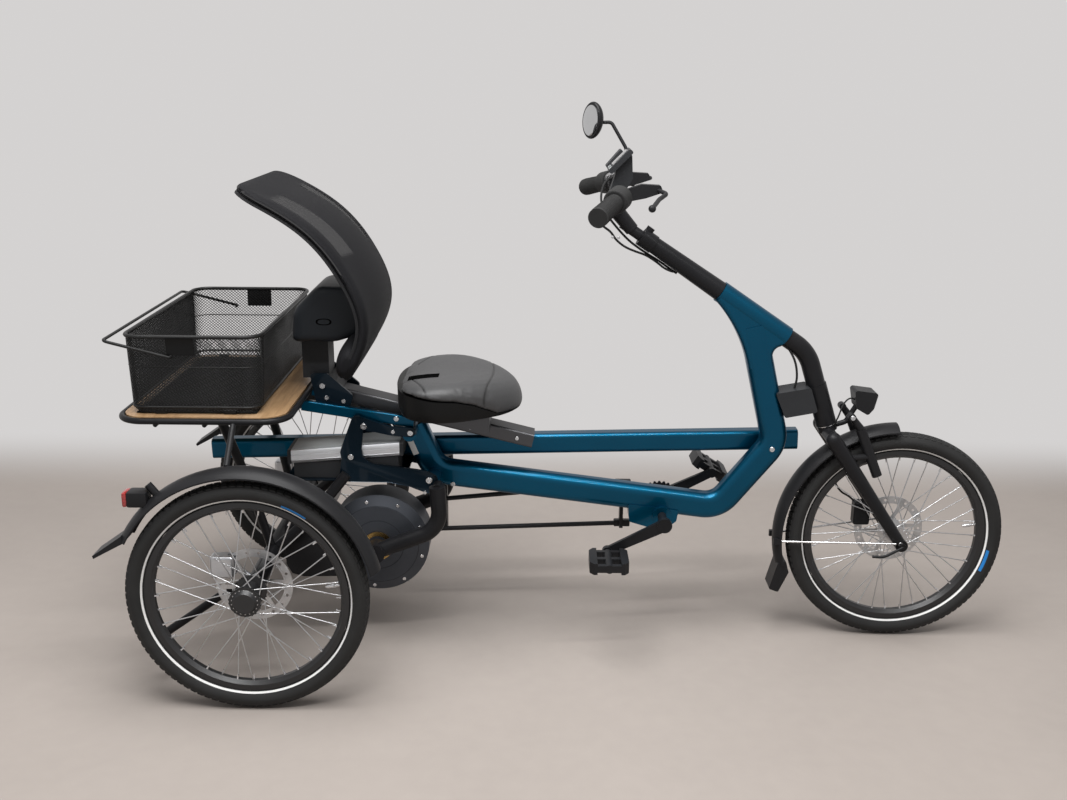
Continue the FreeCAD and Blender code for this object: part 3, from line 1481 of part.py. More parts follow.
def mirrorHead():
    """An oval glass in a domed shell, leaning back and turned to the rider's side."""
    normal = Vector(-0.81, -0.58, 0)
    side = Vector(0.58, -0.81, 0)
    lean = math.radians(s["mirrorLean"])
    longAxis = Vector(0, 0, 1) * math.cos(lean) + side * math.sin(lean)
    upright = Rotation(longAxis, normal.cross(longAxis), normal, "ZXY")
    centre = Vector(701, s["mirrorY"], 1174)
    rings = []
    for share, depth in ((0.94, 0.0), (1.0, 4.0), (0.94, 11.0), (0.6, 20.0)):
        oval = Part.Ellipse(Vector(0, 0, 0), s["mirrorTall"] / 2 * share, s["mirrorWide"] / 2 * share)
        wire = Part.Wire([oval.toShape()])
        wire.Placement = Placement(centre - normal * depth, upright)
        rings.append(wire)
    return Part.makeLoft(rings, True)


def mirror():
    """The mirror and its stalk, clamped to the bar beside the left lever."""
    y = s["mirrorY"]
    foot = barPoints()[1] + Vector(4, -4, 0)
    path = [Vector(714, y + 6, 1169), Vector(749, y + 6, 1170), Vector(786, y - 8, 1108),
            Vector(776, y - 20, 1066), foot]
    stalk = bentTube(path, 4, [12, 30, 22])
    socket = Part.makeSphere(8, Vector(722, y + 6, 1169))
    clamp = rod(foot - Vector(0, 6, 0), foot + Vector(0, 6, 0), 15)
    feature("mirror", cutBy(joined(mirrorHead(), socket, stalk, clamp), barTube(s["fitGap"])))


def build():
    frontWheel()
    tyre("front_tyre", ("wheelbase", "0", "tyreRadius"))
    for name, side in (("right", -1), ("left", 1)):
        rearWheel("rear_rim_" + name, side)
        tyre("rear_tyre_" + name, ("0", f"{side} * track / 2", "tyreRadius"))
        pedal("pedal_" + name, side)
        rearGuard("fender_" + name, side)
    for make in (
        mainFrame, upperStay, gooseneck, controllerBox, sideRails, seatRail, seatPad, backGussets,
        backColumn, lumbarHousing, backrest, framePlates, rearStruts, driveArms, driveHub, axleBeam,
        battery, chainGuards, crankSet, carrierFrame, carrierBoard, basket, frontGuard, tailLights,
        rearCalipers, fork, headlight, rimBrake, frontCaliper, handlebar, grips, levers, display, mirror,
    ):
        make()
    doc.recompute()


def check():
    """Stops before anything is written if an object failed or a sub-part has no sound shape."""
    for thing in doc.Objects:
        if "Invalid" in thing.State or "Error" in thing.State:
            raise RuntimeError(f"{thing.Label} did not recompute: {thing.State}")
    for thing in subParts:
        if thing.Shape.isNull() or not thing.Shape.isValid():
            raise RuntimeError(f"{thing.Label} has no sound shape")


build()
check()
for thing in subParts:
    thing.Shape.exportStep(os.path.join("parts", thing.Label + ".step"))
    print(thing.Label, len(thing.Shape.Solids), round(thing.Shape.Volume / 1000), "cm3")
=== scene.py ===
import json
import math

import bmesh
import bpy
import numpy as np
from mathutils import Matrix, Vector


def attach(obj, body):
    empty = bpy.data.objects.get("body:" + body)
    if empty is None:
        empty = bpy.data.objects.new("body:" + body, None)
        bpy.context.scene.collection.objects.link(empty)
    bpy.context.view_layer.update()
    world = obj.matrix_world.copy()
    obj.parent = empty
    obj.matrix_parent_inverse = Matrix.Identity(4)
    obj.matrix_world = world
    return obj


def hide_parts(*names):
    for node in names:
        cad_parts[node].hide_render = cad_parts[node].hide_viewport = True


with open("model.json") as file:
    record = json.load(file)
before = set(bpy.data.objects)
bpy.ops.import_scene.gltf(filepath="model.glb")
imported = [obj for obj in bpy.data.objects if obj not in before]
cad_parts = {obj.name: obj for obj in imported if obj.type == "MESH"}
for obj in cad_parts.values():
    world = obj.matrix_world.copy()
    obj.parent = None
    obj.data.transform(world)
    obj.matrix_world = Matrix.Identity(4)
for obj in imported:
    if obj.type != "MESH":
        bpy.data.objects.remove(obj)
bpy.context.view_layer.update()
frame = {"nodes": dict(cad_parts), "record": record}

scene = bpy.context.scene
print("frame loaded:", len(frame["nodes"]), "nodes")


def placed(name, data):  # a new object in the scene
    piece = bpy.data.objects.new(name, data)
    scene.collection.objects.link(piece)
    return piece


# camera

camera = {
    "place": (-0.0895, -2.485, 1.286),
    "right": (0.99997, 0.00847, 0.00637),
    "up": (-0.00847, 0.27760, 0.96068),
    "ahead": (-0.00637, 0.96066, -0.27765),
    "lens": 38.665,
    "sensor": 36.0,
}


def makeCamera(values):
    data = bpy.data.cameras.new("camera")
    data.lens = values["lens"]
    data.sensor_width = values["sensor"]
    data.sensor_fit = "HORIZONTAL"
    eye = placed("camera", data)
    columns = Matrix((values["right"], values["up"], -Vector(values["ahead"]))).transposed()
    eye.matrix_world = Matrix.Translation(values["place"]) @ columns.to_4x4()
    scene.camera = eye


makeCamera(camera)


# node trees: one socket with the operators a maker needs, and the trees that use it

class Strand:
    def __init__(self, owner, socket):
        self.owner = owner
        self.socket = socket

    def worked(self, operation, *values):
        return self.owner.node("ShaderNodeMath", {"operation": operation}, dict(enumerate(values)))

    def __add__(self, other):
        return self.worked("ADD", self, other)

    def __radd__(self, other):
        return self.worked("ADD", other, self)

    def __sub__(self, other):
        return self.worked("SUBTRACT", self, other)

    def __rsub__(self, other):
        return self.worked("SUBTRACT", other, self)

    def __mul__(self, other):
        return self.worked("MULTIPLY", self, other)

    def __rmul__(self, other):
        return self.worked("MULTIPLY", other, self)

    def __truediv__(self, other):
        return self.worked("DIVIDE", self, other)

    def __rtruediv__(self, other):
        return self.worked("DIVIDE", other, self)

    def __gt__(self, other):
        return self.worked("GREATER_THAN", self, other)

    def __lt__(self, other):
        return self.worked("LESS_THAN", self, other)

    def __abs__(self):
        return self.worked("ABSOLUTE", self)

    def root(self):
        return self.worked("SQRT", self)

    def atLeast(self, low):
        return self.worked("MAXIMUM", self, low)

    def limited(self):
        return self.worked("MINIMUM", self.atLeast(0.0), 1.0)


class Tree:
    def node(self, kind, settings, inputs, output=0):
        made = self.tree.nodes.new(kind)
        for key, value in settings.items():
            if key == "stops":
                ramp = made.color_ramp
                while len(ramp.elements) < len(value):
                    ramp.elements.new(0.5)
                for element, (place, shade) in zip(ramp.elements, value):
                    element.position = place
                    element.color = (*shade, 1.0)
            else:
                setattr(made, key, value)
        for key, value in inputs.items():
            socket = made.inputs[key]
            if isinstance(value, Strand):
                self.tree.links.new(value.socket, socket)
            elif hasattr(value, "__len__") and len(value) == 3 and len(socket.default_value) == 4:
                socket.default_value = (*value, 1.0)
            else:
                socket.default_value = value
        return Strand(self, made.outputs[output])


class Finish(Tree):  # a material in the making
    def __init__(self, name, fixed):
        self.material = bpy.data.materials.new(name)
        self.material.use_nodes = True
        self.tree = self.material.node_tree
        self.shader = self.tree.nodes["Principled BSDF"]
        for socketName, value in fixed.items():
            self.shader.inputs[socketName].default_value = value
        self.place = self.node("ShaderNodeTexCoord", {}, {}, "Object")

    def noise(self, scale, detail=3.0, rough=0.5, place=None):
        inputs = {"Vector": place or self.place, "Scale": scale, "Detail": detail, "Roughness": rough}
        return self.node("ShaderNodeTexNoise", {}, inputs, "Fac")

    def cells(self, scale, feature="F1"):
        inputs = {"Vector": self.place, "Scale": scale}
        return self.node("ShaderNodeTexVoronoi", {"feature": feature}, inputs, "Distance")

    def stretched(self, scale):
        return self.node("ShaderNodeMapping", {}, {"Vector": self.place, "Scale": scale})

    def waves(self, scale, direction):
        inputs = {"Vector": self.place, "Scale": scale}
        return self.node("ShaderNodeTexWave", {"bands_direction": direction}, inputs, "Fac")

    def painted(self, label):
        return self.node("ShaderNodeAttribute", {"attribute_name": label}, {}, "Fac")

    def ramp(self, factor, stops):
        return self.node("ShaderNodeValToRGB", {"stops": stops}, {"Fac": factor})

    def blended(self, factor, first, second):
        inputs = {0: factor, 6: first, 7: second}
        return self.node("ShaderNodeMix", {"data_type": "RGBA"}, inputs, 2)

    def axes(self):
        parted = self.node("ShaderNodeSeparateXYZ", {}, {"Vector": self.place}, "X")
        outputs = parted.socket.node.outputs
        return tuple(Strand(self, outputs[name]) for name in "XYZ")

    def fromAxle(self, centre):
        # how far each point is across, along, above and altogether from an axle along Y
        x, y, z = self.axes()
        dx = x - centre[0]
        dz = z - centre[2]
        return dx, y, dz, (dx * dx + dz * dz).root()

    def bump(self, height, depth, strength=1.0):
        inputs = {"Height": height, "Distance": depth, "Strength": strength}
        return self.node("ShaderNodeBump", {}, inputs, "Normal")

    def feed(self, **strands):
        names = {
            "colour": "Base Color", "roughness": "Roughness", "metallic": "Metallic",
            "alpha": "Alpha", "normal": "Normal",
        }
        for name, strand in strands.items():
            self.tree.links.new(strand.socket, self.shader.inputs[names[name]])
        return self.material


class Growth(Tree):  # a geometry node tree with named inputs
    def __init__(self, name, inputs):
        self.tree = bpy.data.node_groups.new(name, "GeometryNodeTree")
        face = self.tree.interface
        face.new_socket("Geometry", in_out="INPUT", socket_type="NodeSocketGeometry")
        for label, kind in inputs.items():
            face.new_socket(label, in_out="INPUT", socket_type="NodeSocket" + kind)
        face.new_socket("Geometry", in_out="OUTPUT", socket_type="NodeSocketGeometry")
        self.entry = self.tree.nodes.new("NodeGroupInput")
        self.end = self.tree.nodes.new("NodeGroupOutput")

    def given(self, label):
        return Strand(self, self.entry.outputs[label])

    def finished(self, geometry):
        solid = self.node("GeometryNodeRealizeInstances", {}, {0: geometry})
        dressed = self.node("GeometryNodeSetMaterial", {}, {0: solid, "Material": self.given("Finish")})
        self.tree.links.new(dressed.socket, self.end.inputs[0])
        return self

    def grownOn(self, piece, finish, values):
        modifier = piece.modifiers.new(self.tree.name, "NODES")
        modifier.node_group = self.tree
        values = {**values, "Finish": finish}
        for item in self.tree.interface.items_tree:
            if item.in_out == "INPUT" and item.name in values:
                modifier[item.identifier] = values[item.name]
        return settled(piece)


# finishes

def toned(shade, gain, lift=0.0):
    return tuple(part * gain + lift for part in shade)


def paintFinish(name, light, dark, roughness=0.24):
    # gloss lacquer: fine metallic flake under a clear coat with a trace of orange peel
    finish = Finish(name, {
        "Metallic": 0.85, "Coat Weight": 0.22, "Coat Roughness": 0.04, "Specular IOR Level": 0.1})
    flake = finish.cells(2600.0)
    cloud = finish.noise(9.0, 2.0)
    colour = finish.blended((flake * 0.7 + cloud * 0.5).limited(), dark, light)
    peel = finish.noise(240.0, 2.0)
    return finish.feed(
        colour=colour, roughness=roughness + cloud * 0.1, normal=finish.bump(peel, 0.00006, 0.6))


def satinFinish(name, shade, roughness=0.42, grain=900.0, depth=0.00008):
    # powder coat: a faint even grain, slightly polished where hands and shoes rub
    finish = Finish(name, {"Specular IOR Level": 0.16})
    rubbed = finish.noise(14.0, 3.0)
    fine = finish.noise(grain, 2.0)
    return finish.feed(
        colour=finish.blended(rubbed, shade, toned(shade, 1.5, 0.003)),
        roughness=roughness - 0.12 + rubbed * 0.24,
        normal=finish.bump(fine, depth, 0.7))


def metalFinish(name, shade, roughness=0.3, along=(1, 40, 40)):
    # brushed or machined metal with fine streaks
    finish = Finish(name, {"Metallic": 1.0})
    streak = finish.noise(60.0, 4.0, 0.6, finish.stretched(along))
    spots = finish.noise(24.0, 3.0)
    return finish.feed(
        colour=finish.blended((streak * 0.6 + spots * 0.4).limited(), toned(shade, 0.72), shade),
        roughness=roughness - 0.08 + streak * 0.2,
        normal=finish.bump(streak, 0.00003, 0.5))


def paintedShadeFinish(name):
    # painted shade: the dark inside of an opening, a flat black that reflects nothing
    finish = Finish(name, {"Specular IOR Level": 0.0, "Roughness": 1.0})
    cloud = finish.noise(60.0, 2.0)
    return finish.feed(colour=finish.blended(cloud, (0.001, 0.001, 0.001), (0.004, 0.004, 0.004)))


def plasticFinish(name, shade, roughness=0.5, grain=420.0, depth=0.0002):
    # moulded plastic with a spark-eroded grain
    finish = Finish(name, {"Specular IOR Level": 0.16})
    grainCells = finish.cells(grain)
    wear = finish.noise(11.0, 3.0)
    return finish.feed(
        colour=finish.blended(wear, shade, toned(shade, 1.35, 0.002)),
        roughness=roughness - 0.08 + wear * 0.16,
        normal=finish.bump(grainCells, depth, 0.5))


def rubberFinish(name, shade):
    # dusty black rubber
    finish = Finish(name, {"Specular IOR Level": 0.22})
    dust = finish.noise(18.0, 4.0, 0.6)
    fine = finish.noise(700.0, 3.0)
    return finish.feed(
        colour=finish.blended(dust, shade, toned(shade, 1.9, 0.006)),
        roughness=0.62 + dust * 0.2,
        normal=finish.bump(fine, 0.00015, 0.6))


def leatherFinish(name, shade, roughness=0.4):
    # leatherette: pebbled grain, with painted shade where the "seam" attribute marks the seams' grooves
    finish = Finish(name, {"Specular IOR Level": 0.4})
    pebble = finish.cells(620.0, "SMOOTH_F1")
    crease = finish.noise(160.0, 4.0, 0.6)
    soft = finish.noise(7.0, 2.0)
    hide = finish.blended((pebble * 0.6 + soft * 0.4).limited(), toned(shade, 1.35), shade)
    # painted shade: near black along the seams, standing in for the shade in their grooves
    seamedWithShade = finish.painted("seam") * 0.9
    return finish.feed(
        colour=finish.blended(seamedWithShade.limited(), hide, (0.006, 0.006, 0.006)),
        roughness=roughness + pebble * 0.2,
        normal=finish.bump(pebble + crease * 0.35, 0.00016, 0.5))


def plywoodFinish(name):
    # pale brown veneer with long grain across the board, a few darker streaks and a satin seal
    finish = Finish(name, {"Coat Weight": 0.25, "Coat Roughness": 0.2})
    drawn = finish.stretched((9.0, 0.7, 9.0))
    wander = finish.noise(3.0, 3.0, 0.6, drawn)
    grain = finish.noise(26.0, 6.0, 0.65, drawn)
    pores = finish.noise(180.0, 3.0, 0.6, finish.stretched((5.0, 0.35, 5.0)))
    tone = finish.ramp((grain * 0.55 + wander * 0.45).limited(), (
        (0.30, (0.20, 0.115, 0.052)), (0.47, (0.36, 0.22, 0.11)), (0.62, (0.45, 0.29, 0.155)),
        (0.75, (0.52, 0.35, 0.20))))
    colour = finish.blended((pores - 0.45).limited() * 1.3, tone, (0.17, 0.095, 0.045))
    return finish.feed(
        colour=colour, roughness=0.36 + grain * 0.2, normal=finish.bump(pores, 0.0001, 0.5))


def lensFinish(name, shade):
    # ribbed clear plastic over a colour
    finish = Finish(name, {"Coat Weight": 1.0, "Coat Roughness": 0.03, "Emission Strength": 0.0})
    ribs = finish.cells(260.0)
    return finish.feed(
        colour=finish.blended(ribs, shade, toned(shade, 0.4)), roughness=0.12 + ribs * 0.1,
        normal=finish.bump(ribs, 0.0008, 0.7))


marks = {  # metres about a wheel's axle
    "rimInner": 0.1885, "rotorHalf": 0.0025,
    "wallFrom": 0.012, "stripeAt": 0.2132, "stripeHalf": 0.0017,
    "patchAt": 0.2196, "patchHalf": 0.0028, "patchDegrees": 7.0,
    "groovesAt": (0.058, 0.092), "grooveHalf": 0.0009,
}


def wheelFinish(name, centre, rotorAt, hubReach):
    # one wheel: black rim and hub, bright spokes and brake rotor, told apart by their radius
    finish = Finish(name, {})
    dx, y, dz, radial = finish.fromAxle(centre)
    offRotor = abs(y - rotorAt) > marks["rotorHalf"]
    dark = ((radial > marks["rimInner"]) + (radial < hubReach) * offRotor).limited()
    turn = dz.worked("ARCTAN2", dz, dx)
    streak = finish.noise(900.0, 2.0, 0.5, finish.node("ShaderNodeCombineXYZ", {}, {0: radial, 1: y}))
    brushed = finish.noise(
        6.0, 3.0, 0.5, finish.node("ShaderNodeCombineXYZ", {}, {0: turn, 1: radial * 20}))
    bright = finish.blended(brushed, (0.40, 0.41, 0.42), (0.62, 0.62, 0.63))
    return finish.feed(
        colour=finish.blended(dark, bright, (0.012, 0.012, 0.013)),
        metallic=1.0 - dark, roughness=0.24 + dark * 0.08 + streak * 0.12,
        normal=finish.bump(streak, 0.00003, 0.5))


def tyreFinish(name, centre, patchTurn):
    # rubber with a white reflecting stripe and one plain blue patch on each wall
    finish = Finish(name, {"Specular IOR Level": 0.22})
    dx, y, dz, radial = finish.fromAxle(centre)
    wall = abs(y - centre[1]) > marks["wallFrom"]
    stripe = (abs(radial - marks["stripeAt"]) < marks["stripeHalf"]) * wall
    away = abs(dz.worked("ARCTAN2", dz, dx) * (180 / math.pi) - patchTurn)
    patch = (away < marks["patchDegrees"]) * (abs(radial - marks["patchAt"]) < marks["patchHalf"]) * wall
    dust = finish.noise(16.0, 4.0, 0.6)
    fine = finish.noise(700.0, 3.0)
    rubber = finish.blended(dust, (0.013, 0.013, 0.013), (0.030, 0.030, 0.030))
    striped = finish.blended(stripe, rubber, (0.80, 0.80, 0.79))
    return finish.feed(
        colour=finish.blended(patch, striped, (0.02, 0.19, 0.52)),
        roughness=0.5 + dust * 0.25 - stripe * 0.2,
        normal=finish.bump(fine, 0.00012, 0.6))


def knitFinish(name, shade):
    # stretch knit; where the piece's "open" attribute says so, light comes between its threads
    finish = Finish(name, {"Specular IOR Level": 0.12})
    threads = finish.waves(260.0, "Y") * finish.waves(300.0, "Z")
    soft = finish.noise(12.0, 3.0)
    single = finish.painted("open")
    net = finish.waves(150.0, "Y") * 0.5 + finish.waves(150.0, "Z") * 0.5
    return finish.feed(
        colour=finish.blended((threads * 0.6 + soft * 0.4).limited(), shade, toned(shade, 1.8, 0.004)),
        roughness=0.62 + threads * 0.2, alpha=1.0 - single * (0.26 + net * 0.08),
        normal=finish.bump(threads, 0.0003, 0.6))


def ringedFinish(name, shade, centre):
    # turned metal: fine rings about the hub's axle, their two grooves painted darker as shade
    finish = Finish(name, {"Metallic": 0.6, "Specular IOR Level": 0.3})
    radial = finish.fromAxle(centre)[3]
    inner, outer = (abs(radial - reach) < marks["grooveHalf"] for reach in marks["groovesAt"])
    grooves = (inner + outer).limited()
    mottled = finish.noise(30.0, 4.0)
    return finish.feed(
        # painted shade: the grooves at half the colour
        colour=finish.blended((grooves * 0.7 + mottled * 0.3).limited(), shade, toned(shade, 0.5)),
        roughness=0.36 + mottled * 0.16 + grooves * 0.2,
        normal=finish.bump(1.0 - grooves, 0.0006, 0.8))


def mirrorFinish(name):
    # silvered glass with a little haze
    finish = Finish(name, {"Metallic": 1.0})
    haze = finish.noise(30.0, 3.0)
    return finish.feed(
        colour=finish.blended(haze, (0.60, 0.61, 0.62), (0.68, 0.69, 0.70)), roughness=0.03 + haze * 0.05)


originX = 682.5  # how far the frame's origin is ahead of the rear axle, in millimetres


def spot(x, y, z):  # millimetres from the ground under the rear axle
    return Vector(((x - originX) / 1000, y / 1000, z / 1000))


def measured(point):  # and back to those millimetres
    return point.x * 1000 + originX, point.y * 1000, point.z * 1000


wheels = {  # patch in degrees, rotor and flange (radius, place along the axle) in millimetres
    "front": {
        "at": spot(1415, 0, 250), "body": "front_wheel", "tyre": "front_tyre", "rim": "front_rim",
        "patch": -15.0, "rotor": 38, "hubReach": 0.0001, "flange": (29.0, 29.2)},
    "right": {
        "at": spot(0, -356.5, 250), "body": "rear_wheel_right", "tyre": "rear_tyre_right",
        "rim": "rear_rim_right", "patch": 61.0, "rotor": 56, "hubReach": 0.034, "flange": (29.5, 30.2)},
    "left": {
        "at": spot(0, 356.5, 250), "body": "rear_wheel_left", "tyre": "rear_tyre_left",
        "rim": "rear_rim_left", "patch": 100.0, "rotor": -56, "hubReach": 0.034, "flange": (29.5, 30.2)},
}

finishes = {
    "frame_paint": paintFinish("petrolLacquer", (0.0006, 0.078, 0.148), (0.0003, 0.047, 0.095), 0.3),
    "navy_paint": paintFinish("navyLacquer", (0.012, 0.024, 0.037), (0.005, 0.011, 0.018), 0.34),
    "satin_black": satinFinish("satinBlack", (0.007, 0.007, 0.008), 0.36),
    "dark_aluminium": metalFinish("darkCasting", (0.10, 0.10, 0.105), 0.42),
    "silver_aluminium": metalFinish("silverAlloy", (0.62, 0.63, 0.65), 0.32),
    "dark_grey_plastic": plasticFinish("darkGreyMoulding", (0.022, 0.023, 0.025)),
    "black_plastic": plasticFinish("blackMoulding", (0.011, 0.011, 0.012), 0.40, 520.0, 0.0001),
    "grip_rubber": rubberFinish("gripRubber", (0.012, 0.012, 0.012)),
    "seat_cover": leatherFinish("seatLeatherette", (0.040, 0.040, 0.041)),
    "back_mesh": knitFinish("backKnit", (0.005, 0.005, 0.006)),
    "plywood": plywoodFinish("plywood"),
    "black_wire": satinFinish("coatedWire", (0.010, 0.010, 0.010), 0.35),
    "red_lens": lensFinish("redLens", (0.42, 0.012, 0.010)),
    "tyre_rubber": rubberFinish("tyreRubber", (0.016, 0.016, 0.016)),
    "rim_black": satinFinish("rimBlack", (0.012, 0.012, 0.012), 0.3),
}
extras = {
    "steel": metalFinish("boltSteel", (0.72, 0.72, 0.73), 0.22, (20, 20, 20)),
    "brass": metalFinish("brassRing", (0.62, 0.40, 0.14), 0.25, (20, 20, 20)),
    "hose": rubberFinish("hoseRubber", (0.010, 0.010, 0.010)),
    "case": metalFinish("caseAlloy", (0.90, 0.92, 0.95), 0.45),
    "glass": mirrorFinish("mirrorGlass"),
    "lamp": lensFinish("clearLens", (0.55, 0.56, 0.58)),
    "screen": lensFinish("darkScreen", (0.03, 0.033, 0.038)),
    "label": plasticFinish("whiteLabel", (0.78, 0.78, 0.77), 0.4),
    "slate": plasticFinish("slateMoulding", (0.014, 0.016, 0.019), 0.42, 420.0, 0.0001),
    "saddleSide": plasticFinish("saddleShell", (0.004, 0.004, 0.004), 0.42),
    "piping": satinFinish("backPiping", (0.014, 0.014, 0.015), 0.6),
    "hub": ringedFinish("hubCasting", (0.062, 0.068, 0.080), spot(226, 0, 244)),
    # painted shade for the saddle's slot and the lumbar housing's recesses
    "paintedShade": paintedShadeFinish("slotPaintedShade"),
    # grey for the display's keys; on the battery, painted shade for the silver case's top
    "lid": satinFinish("keyGreyAndBatteryTopShade", (0.21, 0.22, 0.22), 0.5),
}


def dressed(nodeName, finish):
    for holder in frame["nodes"][nodeName].material_slots:
        holder.material = finish


nodeSlots = {part["node"]: part["material_slot"] for part in frame["record"]["subparts"]}
for nodeName in frame["nodes"]:
    dressed(nodeName, finishes["navy_paint" if nodeName == "back_gussets" else nodeSlots[nodeName]])
print("finishes made:", len(finishes) + len(extras))


# making pieces

making = {"sharpDegrees": 35.0, "weld": 0.000004}


def settled(piece):  # the piece with its modifiers made into plain mesh
    graph = bpy.context.evaluated_depsgraph_get()
    mesh = bpy.data.meshes.new_from_object(piece.evaluated_get(graph))
    piece.modifiers.clear()
    piece.data = mesh
    return piece


def rounded(piece):  # once more finely divided
    finer = piece.modifiers.new("finer", "SUBSURF")
    finer.levels = finer.render_levels = 1
    settled(piece)


def smoothed(mesh):  # smooth, but for its sharp edges
    mesh.shade_smooth()
    mesh.set_sharp_from_angle(angle=math.radians(making["sharpDegrees"]))


def linked(name, work, finish=None):  # a piece from a bmesh, which is freed
    mesh = bpy.data.meshes.new(name)
    work.to_mesh(mesh)
    work.free()
    if finish:
        mesh.materials.append(finish)
    smoothed(mesh)
    return placed(name, mesh)


def carried(piece, body, replaced=()):
    smoothed(piece.data)
    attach(piece, body)
    if replaced:
        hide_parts(*replaced)
    return piece


def skinned(name, rings, finish, closed=False, capped=True):
    # faces between rings of equally many points
    work = bmesh.new()
    rows = [[work.verts.new(point) for point in ring] for ring in rings]
    pairs = list(zip(rows, rows[1:]))
    if closed:
        pairs.append((rows[-1], rows[0]))
    count = len(rows[0])
    for lower, upper in pairs:
        for index in range(count):
            after = (index + 1) % count
            work.faces.new((lower[index], lower[after], upper[after], upper[index]))
    if capped:
        work.faces.new(rows[0][::-1])
        work.faces.new(rows[-1])
    bmesh.ops.remove_doubles(work, verts=work.verts, dist=making["weld"])
    bmesh.ops.recalc_face_normals(work, faces=work.faces)
    return linked(name, work, finish)


def turns(steps):  # angles round a whole turn
    return [2 * math.pi * step / steps for step in range(steps)]


def copied(point, side):  # a point's twin on the other side of the middle
    return Vector((point.x, point.y * side, point.z))


def lathed(name, profile, centre, finish, facing=(0, 1, 0), steps=48, looped=True):
    # a turned piece: (radius, along) in millimetres about an axis
    turn = Vector((0, 0, 1)).rotation_difference(Vector(facing)).to_matrix()
    rings = []
    for radius, along in profile:
        ring = []
        for angle in turns(steps):
            point = Vector((radius * math.cos(angle), radius * math.sin(angle), along)) / 1000
            ring.append(Vector(centre) + turn @ point)
        rings.append(ring)
    return skinned(name, rings, finish, closed=looped, capped=not looped)


def chamfered(name, low, high, cut, finish, turn=None, about=None):
    # a block between two corners with its edges cut back
    work = bmesh.new()
    bmesh.ops.create_cube(work, size=1.0)
    low, high = Vector(low), Vector(high)
    for vertex in work.verts:
        vertex.co = Vector(a + (b - a) * (c + 0.5) for a, b, c in zip(low, high, vertex.co))
    bmesh.ops.bevel(work, geom=work.edges[:], offset=cut, segments=2, profile=0.6, affect="EDGES")
    if turn:
        bmesh.ops.rotate(work, cent=about, matrix=turn, verts=work.verts)
    return linked(name, work, finish)


def tubed(name, points, radius, finish, closed=False, sides=12):
    # a wire of round section along points
    points = [Vector(point) for point in points]
    rings = []
    count = len(points)
    frameUp = None
    for index, point in enumerate(points):
        if closed:
            before, after = points[index - 1], points[(index + 1) % count]
        else:
            before, after = points[max(index - 1, 0)], points[min(index + 1, count - 1)]
        along = (after - before).normalized()
        if frameUp is None:
            frameUp = along.orthogonal()
        frameUp = (frameUp - along * frameUp.dot(along)).normalized()
        side = along.cross(frameUp)
        if closed:  # a level frame, so that the last ring meets the first untwisted
            side = along.cross(Vector((0.31, 0.17, 0.93))).normalized()
            frameUp = side.cross(along)
        rings.append([
            point + (frameUp * math.cos(angle) + side * math.sin(angle)) * radius
            for angle in turns(sides)])
    return skinned(name, rings, finish, closed=closed, capped=not closed)


def roundedCorner(start, corner, end, steps):
    # a smooth run of points from start to end, drawn towards the corner between them
    shares = [step / steps for step in range(steps + 1)]
    return [start.lerp(corner, share).lerp(corner.lerp(end, share), share) for share in shares]


def roundOutline(steps, powers=(1.0, 1.0)):
    # a circle as (a, b) pairs, squarer where the powers are below one
    return [
        (math.copysign(abs(math.cos(angle)) ** powers[0], math.cos(angle)),
         math.copysign(abs(math.sin(angle)) ** powers[1], math.sin(angle))) for angle in turns(steps)]


def faced(name, centre, first, second, out, outline, rows, finish):
    # a thin piece on a surface: the outline along two directions, a ring for each (share, lift) row
    rings = []
    for share, lift in rows:
        rings.append([spot(*(centre + (first * a + second * b) * share + out * lift)) for a, b in outline])
    return skinned(name, rings, finish)


def splineThrough(points, count, closed=False):
    # a cubic spline through points, at evenly spread places
    spots = np.array([list(point) for point in points], float)
    if closed:
        spots = np.vstack([spots[-3:], spots, spots[:3]])
    chord = np.concatenate([[0.0], np.cumsum(np.linalg.norm(np.diff(spots, axis=0), axis=1))])
    size = len(chord)
    matrix = np.eye(size)
    wanted = np.zeros_like(spots)
    for row in range(1, size - 1):
        before, after = chord[row] - chord[row - 1], chord[row + 1] - chord[row]
        matrix[row, row - 1:row + 2] = before, 2 * (before + after), after
        wanted[row] = 6 * ((spots[row + 1] - spots[row]) / after - (spots[row] - spots[row - 1]) / before)
    bend = np.linalg.solve(matrix, wanted)
    first, last = (chord[3], chord[-3]) if closed else (chord[0], chord[-1])
    made = []
    for place in np.linspace(first, last, count, endpoint=not closed):
        row = min(max(int(np.searchsorted(chord, place)) - 1, 0), size - 2)
        span = chord[row + 1] - chord[row]
        a, b = (chord[row + 1] - place) / span, (place - chord[row]) / span
        point = a * spots[row] + b * spots[row + 1]
        point = point + ((a ** 3 - a) * bend[row] + (b ** 3 - b) * bend[row + 1]) * span ** 2 / 6
        made.append(point)
    return made


def merged(name, pieces, finish=None):  # several meshes as one piece
    work = bmesh.new()
    for piece in pieces:
        mesh = piece.data
        work.from_mesh(mesh)
        finish = finish or mesh.materials[0]
        bpy.data.objects.remove(piece)
        bpy.data.meshes.remove(mesh)
    return linked(name, work, finish)


# what repeats: copies about a wheel's axle, studs on points, strands along edges

